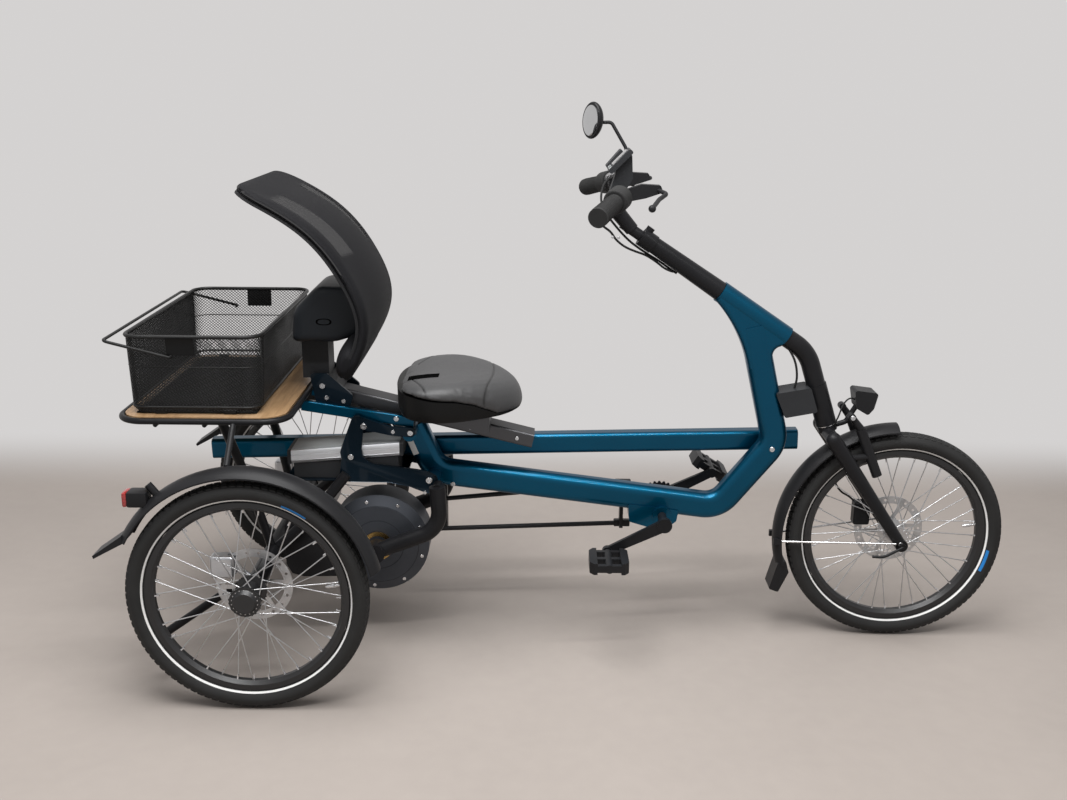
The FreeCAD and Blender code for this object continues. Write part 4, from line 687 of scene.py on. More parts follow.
def aboutAxleTree():
    growth = Growth("aboutAxle", {
        "Count": "Int", "Centre": "Vector", "Seed": "Int", "Unevenness": "Float", "Finish": "Material"})
    points = growth.node("GeometryNodeMeshLine", {}, {"Count": growth.given("Count"), "Offset": (0, 0, 0)})
    atAxle = growth.node("GeometryNodeSetPosition", {}, {
        "Geometry": points, "Position": growth.given("Centre")})
    index = growth.node("GeometryNodeInputIndex", {}, {})
    stray = growth.node("FunctionNodeRandomValue", {"data_type": "FLOAT"}, {
        2: -0.5, 3: 0.5, "ID": index, "Seed": growth.given("Seed")}, 1)
    turn = (index + stray * growth.given("Unevenness")) * (2 * math.pi) / growth.given("Count")
    rotation = growth.node("ShaderNodeCombineXYZ", {}, {1: turn})
    copies = growth.node("GeometryNodeInstanceOnPoints", {}, {
        "Points": atAxle, "Instance": growth.given("Geometry"), "Rotation": rotation})
    return growth.finished(copies)


def studsTree():
    growth = Growth("studs", {"Shape": "Object", "Scale": "Float", "Finish": "Material"})
    shape = growth.node("GeometryNodeObjectInfo", {}, {0: growth.given("Shape")}, "Geometry")
    facing = growth.node("GeometryNodeInputNamedAttribute", {"data_type": "FLOAT_VECTOR"}, {"Name": "facing"})
    size = growth.node("GeometryNodeInputNamedAttribute", {"data_type": "FLOAT"}, {"Name": "size"})
    rotation = growth.node("FunctionNodeAlignRotationToVector", {"axis": "Z"}, {"Vector": facing})
    copies = growth.node("GeometryNodeInstanceOnPoints", {}, {
        "Points": growth.given("Geometry"), "Instance": shape, "Rotation": rotation,
        "Scale": size * growth.given("Scale")})
    return growth.finished(copies)


def strandsTree():
    growth = Growth("strands", {"Width": "Float", "Thickness": "Float", "Finish": "Material"})
    curve = growth.node("GeometryNodeMeshToCurve", {}, {"Mesh": growth.given("Geometry")})
    profile = growth.node("GeometryNodeCurvePrimitiveQuadrilateral", {}, {
        "Width": growth.given("Width"), "Height": growth.given("Thickness")})
    solid = growth.node("GeometryNodeCurveToMesh", {}, {"Curve": curve, "Profile Curve": profile})
    return growth.finished(solid)


aboutAxle = aboutAxleTree()
studs = studsTree()
strands = strandsTree()


def boltShape():
    # a socket-head bolt, one metre across its head before it is scaled
    profile = [(0, 0), (500, 0), (500, 330), (440, 400), (250, 400), (230, 150), (0, 150)]
    return lathed("boltShape", profile, (0, 0, 0), extras["steel"], (0, 0, 1), 16, looped=False)


def studded(name, places, body, finish, shape):
    # copies of a shape on (place, facing, diameter) rows
    mesh = bpy.data.meshes.new(name)
    mesh.from_pydata([place for place, facing, size in places], [], [])
    mesh.attributes.new("facing", "FLOAT_VECTOR", "POINT")
    mesh.attributes.new("size", "FLOAT", "POINT")
    for index, row in enumerate(places):
        mesh.attributes["facing"].data[index].vector = row[1]
        mesh.attributes["size"].data[index].value = row[2] / 1000
    piece = placed(name, mesh)
    studs.grownOn(piece, finish, {"Shape": shape, "Scale": 1.0})
    return carried(piece, body)


print("tools and trees ready")


# tyres and wheels' small parts

tyre = {
    "profile": [
        (208.5, 10.5), (210.5, 12.4), (213.0, 14.0), (214.2, 15.6), (218.0, 18.9), (222.0, 21.6),
        (226.0, 23.2), (229.0, 23.6), (232.5, 23.2), (236.5, 21.4), (239.5, 19.0), (240.6, 18.6),
        (243.5, 15.2), (246.0, 9.6), (247.2, 3.0),
    ],
    "bead": [(212.0, -6.0), (212.0, 6.0)],
    "around": 160,
    "treads": 96, "treadLow": 246.0, "treadRise": 2.3, "treadCircle": 248.0,
    "treadRows": [  # half a centre rib, a slanted block and a shoulder lug: share of the pitch, across
        [(-0.46, 0.7), (0.40, 0.7), (0.46, 3.4), (-0.36, 4.2)],
        [(-0.42, 5.6), (0.34, 4.8), (0.52, 10.0), (-0.18, 10.4)],
        [(-0.30, 11.8), (0.42, 11.4), (0.56, 16.6), (-0.12, 16.8)],
    ],
    "treadSteps": [(0.0, 1.0), (0.8, 0.97), (1.0, 0.86)],
    "crownHalf": 19.0, "crownPower": 2.4, "crownDrop": 5.2,
    "seed": 3, "unevenness": 0.04,
}
spokes = {
    "pairs": 18, "stepDegrees": 10.0,
    "nippleReach": 190.5, "nippleAside": 3.0,
    "nipple": [(0, 0), (2.4, 0), (2.4, 1.5), (1.9, 2.2), (1.7, 10), (0, 10)],
    "headShare": 0.88, "head": [(0, -0.4), (1.9, -0.4), (1.5, 0.9), (0, 1.3)],
    "sides": 8,
    "valveReach": 191.0, "valveDegrees": 8.0,
    "valve": [(0, 0), (3.2, 0), (3.2, 12), (4.2, 13), (4.2, 26), (3.0, 30), (0, 30)],
}


def tyreCarcass(name, wheel, finish):
    half = tyre["profile"]
    profile = half + [(r, -y) for r, y in half[::-1]] + tyre["bead"]
    return lathed(name, profile, wheel["at"], finish, (0, -1, 0), tyre["around"])


def treadBlock(corners):
    # one block of tread from (along, across) corners in millimetres, its top a little smaller
    middle = Vector((sum(c[0] for c in corners), sum(c[1] for c in corners))) / len(corners)
    rings = []
    for lift, share in tyre["treadSteps"]:
        ring = []
        for corner in corners:
            along, across = middle + (Vector(corner) - middle) * share
            drop = (abs(across) / tyre["crownHalf"]) ** tyre["crownPower"] * tyre["crownDrop"]
            ring.append(Vector((tyre["treadLow"] + tyre["treadRise"] * lift - drop, across, along)) / 1000)
        rings.append(ring)
    return skinned("tread", rings, None)


def treadRow(side):  # the repeat of one side of the tread
    pitch = 2 * math.pi * tyre["treadCircle"] / tyre["treads"]
    return [treadBlock([(a * pitch * side, c * side) for a, c in row]) for row in tyre["treadRows"]]


def fromHub(reach, turn, y=0.0):  # a place at a radius and a turn about an axle
    return Vector((reach * math.cos(turn), y, reach * math.sin(turn))) / 1000


def roundWheel(name, parts, wheel):
    # the small parts of one pair of spokes, copied round the wheel
    whole = merged(name, parts, extras["steel"])
    aboutAxle.grownOn(whole, extras["steel"], {
        "Count": spokes["pairs"], "Centre": wheel["at"], "Seed": 0, "Unevenness": 0.0})
    carried(whole, wheel["body"])


def makeWheel(key, wheel):
    centre = wheel["at"]
    rubber = tyreFinish(key + "TyreRubber", centre, wheel["patch"])
    carcass = tyreCarcass(key + "Carcass", wheel, rubber)
    blocks = merged(key + "Blocks", treadRow(1) + treadRow(-1), rubber)
    aboutAxle.grownOn(blocks, rubber, {
        "Count": tyre["treads"], "Centre": centre, "Seed": tyre["seed"], "Unevenness": tyre["unevenness"]})
    whole = merged(key + "_tyre", [carcass, blocks], rubber)
    carried(whole, wheel["body"], (wheel["tyre"],))

    # bright nipples at the rim, the spokes' heads on the hub's flanges, and a valve
    flange, out = wheel["flange"]
    nipples, heads = [], []
    for side, turn in ((-1, 0.0), (1, math.radians(spokes["stepDegrees"]))):
        foot = fromHub(spokes["nippleReach"], turn, side * spokes["nippleAside"])
        nipples.append(lathed("nipple", spokes["nipple"], foot, extras["steel"], -fromHub(1000, turn),
                              spokes["sides"], looped=False))
        foot = fromHub(flange * spokes["headShare"], turn, -side * out)
        heads.append(lathed("head", spokes["head"], foot, extras["steel"], (0, -side, 0),
                            spokes["sides"], looped=False))
    roundWheel(key + "_nipples", nipples, wheel)
    roundWheel(key + "_spoke_heads", heads, wheel)

    turn = math.radians(spokes["valveDegrees"])
    valve = lathed(key + "_valve", spokes["valve"], centre + fromHub(spokes["valveReach"], turn),
                   extras["steel"], -fromHub(1000, turn), 12, looped=False)
    carried(valve, wheel["body"])

    rotorAt = centre.y + wheel["rotor"] / 1000
    dressed(wheel["rim"], wheelFinish(key + "Wheel", centre, rotorAt, wheel["hubReach"]))


for key, wheel in wheels.items():
    makeWheel(key, wheel)
print("wheels dressed")


# saddle

saddle = {
    "rear": 270.0, "front": 552.0, "half": 172.0, "low": 558.0,
    "crest": 639.0, "fall": 16.0, "frontFall": 5.0, "highest": 639.5,
    "side": [(0.035, 0.55), (0.13, 0.86), (0.32, 1.0), (0.62, 0.86), (0.88, 0.52)],
    "edge": [(268, 624), (300, 619), (360, 612), (410, 608), (450, 596), (498, 570), (555, 562)],
    "around": 120,
    "cover": [  # share of the plan, rise from the lip to the crest
        (0.0, -0.10), (0.4, -0.10), (0.7, -0.10), (0.90, -0.10), (0.965, -0.10), (0.985, -0.03),
        (0.992, 0.08), (0.985, 0.30), (0.955, 0.55), (0.90, 0.76), (0.82, 0.90), (0.70, 0.975),
        (0.5, 1.0), (0.25, 1.0), (0.0, 1.0),
    ],
    "base": [
        (0.0, 0.0), (0.84, 0.0), (0.93, 0.02), (0.955, 0.12), (0.968, 0.45), (0.972, 0.97), (0.9, 1.0),
        (0.0, 1.0),
    ],
    "voxel": 0.005, "pressure": 3.2, "cap": 0.003, "frames": 16,
    "dishAt": 400.0, "dishLong": 110.0, "dishWide": 95.0, "dishDeep": 3.5,
    "seamDepth": 1.5, "seamWidth": 1.7, "seamShadeWidth": 1.955,
    # the seams' depth and width, and the width of their painted shade
    "frontSeam": 487.0, "frontBow": 26.0, "bowHalf": 165.0,
    "rearSeam": 312.0, "rearSlant": 0.4, "slantFrom": 70.0, "rearSeamFrom": 60.0, "rearSeamEnd": 300.0,
    "slot": (301.0, 369.0, -72.0, -38.0), "slotSteps": 14, "slotEdge": 0.4,
    "slotRows": [(0.0, -3.0), (0.0, 0.5), (0.8, 0.9), (1.8, 0.8), (6.0, 0.7), (11.0, 0.7)],
    "slotFloor": 0.7,
}
saddleMiddle = (saddle["rear"] + saddle["front"]) / 2


def saddlePlan():
    side = saddle["side"]
    plan = [(0.0, 0.0)] + side + [(1.0, 0.0)] + [(x, -y) for x, y in side[::-1]]
    length = saddle["front"] - saddle["rear"]
    points = [(saddle["rear"] + length * x, saddle["half"] * y, 0.0) for x, y in plan]
    return splineThrough(points, saddle["around"], closed=True)


def saddleEdge(x):
    xs, zs = zip(*saddle["edge"])
    return float(np.interp(x, xs, zs))


def saddleCrest(x):
    share = (x - saddleMiddle) / (saddle["front"] - saddleMiddle)
    fall = saddle["fall"] + (saddle["frontFall"] if share > 0 else 0)
    return saddle["crest"] - fall * share * share


def coverHeight(x, rise):  # 0 is the lip, 1 the crest
    low = saddleEdge(x)
    return low + (saddleCrest(x) - low) * rise


def baseHeight(x, rise):  # 0 is the underside, 1 just under the lip
    return saddle["low"] + 1 + (saddleEdge(x) - saddle["low"] - 3) * rise


def saddleRings(plan, rows, height):
    # the plan drawn in to a share of its size, at that rise
    rings = []
    for share, rise in rows:
        ring = []
        for point in plan:
            x = saddleMiddle + (point[0] - saddleMiddle) * share
            ring.append(spot(x, point[1] * share, height(x, rise)))
        rings.append(ring)
    return rings


def seamAway(x, y):
    # distance from the two seams that cross the cover before and behind the sitting panel
    front = abs(x - (saddle["frontSeam"] - saddle["frontBow"] * (y / saddle["bowHalf"]) ** 2))
    if abs(y) <= saddle["rearSeamFrom"] and x >= saddle["rearSeamEnd"]:
        return front
    slant = saddle["rearSlant"] * max(abs(y) - saddle["slantFrom"], 0.0)
    return min(front, abs(x - (saddle["rearSeam"] + slant)))


def bell(away, width):
    return math.exp(-((away / width) ** 2))


def inflated(piece, values):
    # remeshed, blown up a little by the cloth solver, capped, then rounded once more
    remesh = piece.modifiers.new("even", "REMESH")
    remesh.mode = "VOXEL"
    remesh.voxel_size = values["voxel"]
    settled(piece)
    start = [vertex.co.copy() for vertex in piece.data.vertices]
    cloth = piece.modifiers.new("swell", "CLOTH")
    cloth.settings.use_pressure = True
    cloth.settings.uniform_pressure_force = values["pressure"]
    cloth.settings.effector_weights.gravity = 0.0
    cloth.point_cache.frame_end = values["frames"]
    for number in range(1, values["frames"] + 1):
        scene.frame_set(number)
    settled(piece)
    for vertex, before in zip(piece.data.vertices, start):
        move = vertex.co - before
        if move.length > values["cap"]:
            move = move.normalized() * values["cap"]
        vertex.co = before + move
    scene.frame_set(1)
    rounded(piece)


def seamedWithShade(cover):
    # the sitting panel's dish and the seams, pressed into the top, and the seams marked for painted shade in
    # the finish
    seamShade = []
    for vertex in cover.data.vertices:
        x, y, z = measured(vertex.co)
        top = min(max((z - saddleCrest(x) + 14) / 10, 0.0), 1.0)
        dish = bell(y, saddle["dishWide"]) * bell(x - saddle["dishAt"], saddle["dishLong"])
        seam = saddle["seamDepth"] * bell(seamAway(x, y), saddle["seamWidth"])
        pressed = top * (saddle["dishDeep"] * dish + seam)
        vertex.co.z = min(vertex.co.z - pressed / 1000, saddle["highest"] / 1000)
        # the seams' painted shade, on the top only, above the lip
        x, y, z = measured(vertex.co)
        above = min(max((z - saddleEdge(x) - 2) / 8, 0.0), 1.0)
        seamShade.append(above * bell(seamAway(x, y), saddle["seamShadeWidth"]))
    cover.data.attributes.new("seam", "FLOAT", "POINT").data.foreach_set("value", seamShade)


def makeSlot(cover):
    # the hollow that takes a hand: a floor of painted shade within a thin raised frame, laid along the cover
    graph = bpy.context.evaluated_depsgraph_get()
    x0, x1, y0, y1 = saddle["slot"]
    steps = saddle["slotSteps"]
    along = [x0 + (x1 - x0) * step / steps for step in range(steps + 1)]
    border = [(x, y0) for x in along] + [(x, y1) for x in along[::-1]]
    middle, half = (y0 + y1) / 2, (y1 - y0) / 2
    rings = []
    for inset, lift in saddle["slotRows"] + [(half - saddle["slotEdge"], saddle["slotFloor"])]:
        ring = []
        for x, y in border:
            x = min(max(x, x0 + inset), x1 - inset)
            y = middle + math.copysign(half - inset, y - middle)
            found = cover.evaluated_get(graph).ray_cast(spot(x, y, 700), (0, 0, -1))
            ring.append(found[1] + Vector((0, 0, lift / 1000)))
        rings.append(ring)
    carried(skinned("saddle_slot", rings, extras["paintedShade"]), "frame")


def makeSaddle():
    plan = saddlePlan()
    rings = saddleRings(plan, saddle["cover"], coverHeight)
    cover = skinned("saddle_cover", rings, finishes["seat_cover"], capped=False)
    inflated(cover, saddle)
    seamedWithShade(cover)
    cover.data.materials.clear()
    cover.data.materials.append(finishes["seat_cover"])
    carried(cover, "frame", ("seat_pad",))

    # the black moulded base under the cover's lip
    rings = saddleRings(plan, saddle["base"], baseHeight)
    base = skinned("saddle_base", rings, extras["saddleSide"], capped=False)
    carried(base, "frame")
    makeSlot(cover)


makeSaddle()
print("saddle made")


# backrest: one knitted cover stretched over its hoop, with piping along the edge

back = {
    "profile": [(-12, 1051), (127, 964), (197, 870), (227, 775), (186, 663)],
    "half": 195.0, "bulge": 23.0, "thick": 4.5, "rim": 12.5, "corner": 62.0,
    "turnIn": 26.0, "rimFade": 110.0, "rimPower": 5,
    "along": 72, "alongMix": (0.65, 0.35), "across": 44, "acrossMix": (0.7, 0.3),
    "roll": {"x": 189.0, "z": 698.0, "long": 44.0, "short": 25.0, "lean": 70.0, "half": 203.0,
             "along": 40, "around": 36, "endShare": 0.25, "endPower": 7},
    "net": (0.099, 0.171, 0.745, 1.03), "netSlant": 0.35, "netFade": 0.006,
    "netReach": 0.004, "netReachBehind": 0.05,
    "housing": {
        "outline": [(54, 716), (150, 716), (211, 736), (217, 798), (204, 834), (112, 838), (60, 786)],
        "half": 88.0, "round": 15.0, "steps": 6,
        "rows": [(0.30, 0.999), (0.16, 0.985), (0.07, 0.94), (0.02, 0.86), (0.0, 0.72), (0.0, 0.0)],
        "dishAt": (127.0, 763.0), "dishLong": 17.0, "dishTall": 7.0, "dishPowers": (0.7, 0.9),
        "dishRows": [(1.0, -0.6), (1.0, 0.5), (0.86, 0.7), (0.74, -0.2), (0.0, -0.2)],
    },
    "piping": [  # share of the half width, turn about the rim, radius
        (0.96, 140, 2.6), (0.965, 172, 2.2), (0.955, 205, 2.8), (0.93, 238, 2.4),
    ],
    "pipingSteps": 150, "pipingIn": 6.0, "pipingShare": 0.92,
}


def backLine():
    points = [(x, 0, z) for x, z in back["profile"]]
    line = splineThrough(points, 400)
    steps = [0.0]
    for before, after in zip(line, line[1:]):
        steps.append(steps[-1] + float(np.linalg.norm(after - before)))
    return line, steps


backSpots, backSteps = backLine()
backLong = backSteps[-1]


def backAt(length):
    # the profile's point that far from the top, and the way to the front there
    where = min(max(length, 0.0), backLong)
    index = min(int(np.searchsorted(backSteps, where, side="right")), len(backSpots) - 1)
    before, after = backSpots[index - 1], backSpots[index]
    share = (where - backSteps[index - 1]) / (backSteps[index] - backSteps[index - 1])
    point = before + (after - before) * share
    run = (after - before) / np.linalg.norm(after - before)
    point = point + run * (length - where)
    return point, np.array((-run[2], 0.0, run[0]))


def endAway(length):  # how far it is to the nearer end of the cover
    return min(length + back["rim"], backLong - length + back["rim"])


def backEdge(length):
    # half the width there, from the rounded corners of the outline
    corner = back["corner"]
    near = endAway(length)
    full = back["half"] + back["rim"]
    if near >= corner:
        return full
    return full - corner + math.sqrt(max(corner ** 2 - (corner - near) ** 2, 0.0))


def backPoint(length, y, side):
    # a point of the cover: side 1 is its front skin and -1 its back skin
    point, ahead = backAt(length)
    edge = backEdge(length)
    share = min(abs(y) / edge, 1.0)
    near = endAway(length)
    turnIn = back["turnIn"]
    ends = math.sqrt(max(1 - max(1 - near / turnIn, 0.0) ** 2, 0.0))
    sides = math.sqrt(max(1 - max((share * edge - edge + turnIn) / turnIn, 0.0) ** 2, 0.0))
    bulge = back["bulge"] * (1 - share ** 2) * math.sin(math.pi * min(max(length / backLong, 0), 1))
    toRim = max(share ** back["rimPower"], (1 - min(near / back["rimFade"], 1.0)) ** 2)
    depth = back["thick"] + (back["rim"] - back["thick"]) * toRim
    offset = bulge + side * depth * ends * sides
    out = point + ahead * offset
    return spot(out[0], y, out[2])


def markNet(cover):
    # where the cover is a single net: a strip inside each edge, wider on the skin behind
    inner, outer, low, high = back["net"]
    values = []
    for vertex in cover.data.vertices:
        x, y, z = vertex.co
        behind = 1.0 if vertex.normal.x + vertex.normal.z * 0.6 < 0 else 0.0
        reach = back["netReach"] + back["netReachBehind"] * behind
        leaning = z + x * back["netSlant"]
        room = min(abs(y) - inner, outer - abs(y), leaning - low, high - z)
        values.append(min(max((room + reach) / back["netFade"], 0.0), 1.0))
    cover.data.attributes.new("open", "FLOAT", "POINT").data.foreach_set("value", values)


def backRing(length):
    # once round the cover's two skins, with points closer together at the edges
    edge = backEdge(length)
    total = back["across"]
    curved, even = back["acrossMix"]
    ys = [-edge * (curved * math.cos(math.pi * column / total) + even * (1 - 2 * column / total))
          for column in range(total + 1)]
    return [backPoint(length, y, 1) for y in ys] + [backPoint(length, y, -1) for y in ys[::-1]]


def makeBack():
    total = back["along"]
    lowEnd, highEnd = -back["rim"], backLong + back["rim"]
    curved, even = back["alongMix"]
    rings = []
    for row in range(total + 1):
        share = curved * (0.5 - 0.5 * math.cos(math.pi * row / total)) + even * row / total
        rings.append(backRing(lowEnd + (highEnd - lowEnd) * share))
    cover = skinned("back_cover", rings, finishes["back_mesh"], capped=False)
    rounded(cover)
    markNet(cover)
    carried(cover, "frame", ("backrest_panel", "backrest_rim"))

    # cords of piping that run round the edge of the cover
    corners = [(lowEnd, -1.0), (highEnd, -1.0), (highEnd, 1.0), (lowEnd, 1.0), (lowEnd, -1.0)]
    pipes = []
    for share, degrees, radius in back["piping"]:
        lift = math.cos(math.radians(degrees)) * back["rim"] * back["pipingShare"]
        points = []
        for index in range(back["pipingSteps"]):
            place = index / back["pipingSteps"] * 4
            leg, part = int(place), place - int(place)
            (length, y), (lengthAfter, yAfter) = corners[leg], corners[leg + 1]
            length = length + (lengthAfter - length) * part
            length = min(max(length, lowEnd + back["pipingIn"]), highEnd - back["pipingIn"])
            point, ahead = backAt(length)
            out = point + ahead * lift
            points.append(spot(out[0], backEdge(length) * (y + (yAfter - y) * part) * share, out[2]))
        pipes.append(tubed("pipe", points, radius / 1000, extras["piping"], closed=True, sides=8))
    carried(merged("back_piping", pipes), "frame")


def makeRoll():
    # the cover's lower end, turned back on itself as a padded roll
    values = back["roll"]
    lean = math.radians(values["lean"])
    rings = []
    for step in range(values["along"] + 1):
        y = values["half"] * math.sin((-1 + 2 * step / values["along"]) * math.pi / 2)
        thick = math.sqrt(max(1 - abs(y / values["half"]) ** values["endPower"], 0.0))
        size = values["endShare"] + (1 - values["endShare"]) * thick
        ring = []
        for angle in turns(values["around"]):
            a = values["long"] * size * math.cos(angle)
            b = values["short"] * size * math.sin(angle)
            ring.append(spot(values["x"] + a * math.cos(lean) - b * math.sin(lean), y,
                             values["z"] + a * math.sin(lean) + b * math.cos(lean)))
        rings.append(ring)
    roll = skinned("back_roll", rings, finishes["back_mesh"])
    carried(roll, "frame")


def makeHousing():
    # the lumbar housing: a rounded moulding with a small oval recess on each cheek, drawn as painted shade
    values = back["housing"]
    half = values["half"]
    outline = []
    points = [Vector((x, 0, z)) for x, z in values["outline"]]
    for before, corner, after in zip(points[-1:] + points[:-1], points, points[1:] + points[:1]):
        start = corner + (before - corner).normalized() * values["round"]
        end = corner + (after - corner).normalized() * values["round"]
        outline += roundedCorner(start, corner, end, values["steps"])
    middle = sum(outline, Vector()) / len(outline)
    rings = []
    for inset, share in values["rows"]:
        aside = Vector((0, -half * share, 0))
        rings.append([spot(*(point.lerp(middle, inset) + aside)) for point in outline])
    rings += [[copied(point, -1) for point in ring] for ring in rings[-2::-1]]
    body = skinned("lumbar_body", rings, extras["slate"])
    carried(body, "frame", ("lumbar_housing",))

    # each recess is a thin piece of painted shade laid on the cheek
    x, z = values["dishAt"]
    dishShades = []
    for side in (-1, 1):
        dishShades.append(faced(
            "dish", Vector((x, side * half, z)), Vector((values["dishLong"], 0, 0)),
            Vector((0, 0, values["dishTall"])), Vector((0, side, 0)),
            roundOutline(28, values["dishPowers"]), values["dishRows"], extras["paintedShade"]))
    carried(merged("lumbar_dishes", dishShades), "frame")


makeBack()
makeRoll()
makeHousing()
print("backrest made")


# basket: expanded mesh between wires

basket = {
    "levels": [  # rear, front, half, height, corner
        (-236.0, 8.0, 236.0, 603.0, 18.0),
        (-246.0, 18.0, 246.0, 616.0, 28.0),
        (-246.0, 28.0, 263.0, 768.0, 34.0),
    ],
    "cell": 8.2, "rowTall": 3.3, "strandWide": 0.0017, "strandThick": 0.0014,
    "rings": [(768, 1.0, 4.0), (704, 0.5, 1.2), (617, 0.0, 2.6)],  # height, outwards, wire's radius
    "ringSteps": 160,
    "posts": (0.145, 0.355, 0.645, 0.855), "postHeights": (605, 616, 660, 720, 767), "postWire": 1.6,
    "handle": [(-150, 252, 726), (-150, 266, 726), (-283, 266, 760)],
    "handleBends": (5, 13, 13, 5), "handleWire": 3.2,
    "tray": (601.6, 603.2), "feet": (0.20, 0.30, 0.70, 0.80), "footAt": 606, "foot": (0.012, 0.004),
    "plates": [(-157, -101, 730, 766, -1), (-124, -66, 726, 770, 1)],  # from, to, low, high, side
    "plateThick": 1.2, "plateOut": 2.4, "lipOut": 4.5,
}


def basketLevel(z):
    rows = basket["levels"]
    heights = [row[3] for row in rows]
    return [float(np.interp(z, heights, [row[k] for row in rows])) for k in (0, 1, 2, 4)]


def basketPoint(share, z, out=0.0):
    # a point on the wall, a share of the way round from the middle of the front
    rear, front, half, corner = basketLevel(z)
    rear, front, half, corner = rear - out, front + out, half + out, corner + out
    runY, runX = 2 * (half - corner), (front - rear) - 2 * corner
    arc = math.pi / 2 * corner
    total = 2 * runY + 2 * runX + 4 * arc
    walk = (share % 1.0) * total
    legs = [
        (runY / 2, "line", (front, 0), (0, 1)), (arc, "arc", (front - corner, half - corner), 0),
        (runX, "line", (front - corner, half), (-1, 0)), (arc, "arc", (rear + corner, half - corner), 90),
        (runY, "line", (rear, half - corner), (0, -1)), (arc, "arc", (rear + corner, corner - half), 180),
        (runX, "line", (rear + corner, -half), (1, 0)), (arc, "arc", (front - corner, corner - half), 270),
        (runY / 2, "line", (front, corner - half), (0, 1))]
    for length, kind, base, facing in legs:
        if walk <= length + 1e-9:
            break
        walk -= length
    if kind == "line":
        return spot(base[0] + facing[0] * walk, base[1] + facing[1] * walk, z)
    angle = math.radians(facing) + walk / corner
    return spot(base[0] + corner * math.cos(angle), base[1] + corner * math.sin(angle), z)


def basketNet():
    # zigzag strands: rows round the walls and rows side by side on the floor
    rear, front, half = basketLevel(700)[:3]
    around = int((2 * (front - rear) + 4 * half) / basket["cell"]) * 2
    low, high = basket["levels"][0][3], basket["levels"][-1][3]
    rows = int((high - low) / basket["rowTall"])
    points, edges = [], []
    for row in range(rows):
        first = len(points)
        for index in range(around):
            up = (index + row) % 2
            z = low + (high - low) * (row + up) / rows
            points.append(basketPoint(index / around, min(z, high)))
        edges += [(first + index, first + (index + 1) % around) for index in range(around)]
    rear, front, half = basketLevel(low)[:3]
    lines = int(2 * half / basket["cell"])
    across = int((front - rear) / basket["rowTall"])
    for line in range(lines):
        first = len(points)
        for index in range(across + 1):
            up = (index + line) % 2
            x = rear + (front - rear) * index / across
            y = -half + 2 * half * (line + up) / lines
            points.append(spot(x, y, low + 1.0))
        edges += [(first + index, first + index + 1) for index in range(across)]
    mesh = bpy.data.meshes.new("basketNet")
    mesh.from_pydata(points, edges, [])
    finish = finishes["black_wire"]
    net = placed("basket_net", mesh)
    strands.grownOn(net, finish, {"Width": basket["strandWide"], "Thickness": basket["strandThick"]})
    net.data.materials.clear()
    net.data.materials.append(finish)
    carried(net, "frame", ("basket",))


def basketWires():
    finish = finishes["black_wire"]
    wires = []
    count = basket["ringSteps"]
    for z, out, radius in basket["rings"]:
        ring = [basketPoint(index / count, z, out) for index in range(count)]
        wires.append(tubed("ring", ring, radius / 1000, finish, closed=True, sides=10))
    for share in basket["posts"]:  # upright wires at the four corners
        points = [basketPoint(share, z, 0.8) for z in basket["postHeights"]]
        wires.append(tubed("post", points, basket["postWire"] / 1000, finish, sides=8))
    path = [spot(*point) for point in basket["handle"]]
    path += [copied(point, -1) for point in path[::-1]]
    path = roundedRun(path, basket["handleBends"])
    wires.append(tubed("handle", path, basket["handleWire"] / 1000, finish))
    rear, front, half = basketLevel(604)[:3]
    low, high = basket["tray"]
    wires.append(chamfered(
        "tray", spot(rear - 1, 1 - half, low), spot(front + 1, half - 1, high), 0.0004, finish))
    long, wide = basket["foot"]
    for share in basket["feet"]:  # feet that hold the basket on the board
        foot = basketPoint(share, basket["footAt"])
        wires.append(chamfered("foot", foot - Vector((long, wide, 0.004)), foot + Vector((long, wide, 0.003)),
                               0.001, finish))
    carried(merged("basket_wires", wires), "frame")


def basketPlates():
    pieces = []
    for x0, x1, z0, z1, side in basket["plates"]:
        rings = []
        for z in (z0, z0 + 12, (z0 + z1) / 2, z1 - 4, z1):
            inner = side * (basketLevel(z)[2] + basket["plateOut" if z < z1 else "lipOut"])
            outer = inner + side * basket["plateThick"]
            rings.append([spot(x0, inner, z), spot(x1, inner, z), spot(x1, outer, z), spot(x0, outer, z)])
        pieces.append(skinned("plate", rings, extras["saddleSide"]))
    carried(merged("basket_plates", pieces), "frame")


def roundedRun(points, radii):
    # straight runs of a bent wire joined by tangent arcs, radii in millimetres
    made = [points[0]]
    for before, corner, after, radius in zip(points, points[1:], points[2:], radii):
        first = (before - corner).normalized()
        second = (after - corner).normalized()
        reach = radius / 1000 * math.tan((math.pi - first.angle(second)) / 2)
        made += roundedCorner(corner + first * reach, corner, corner + second * reach, 8)
    return made + [points[-1]]


basketNet()
basketWires()
basketPlates()
print("basket made")


# bolts, screws and rings

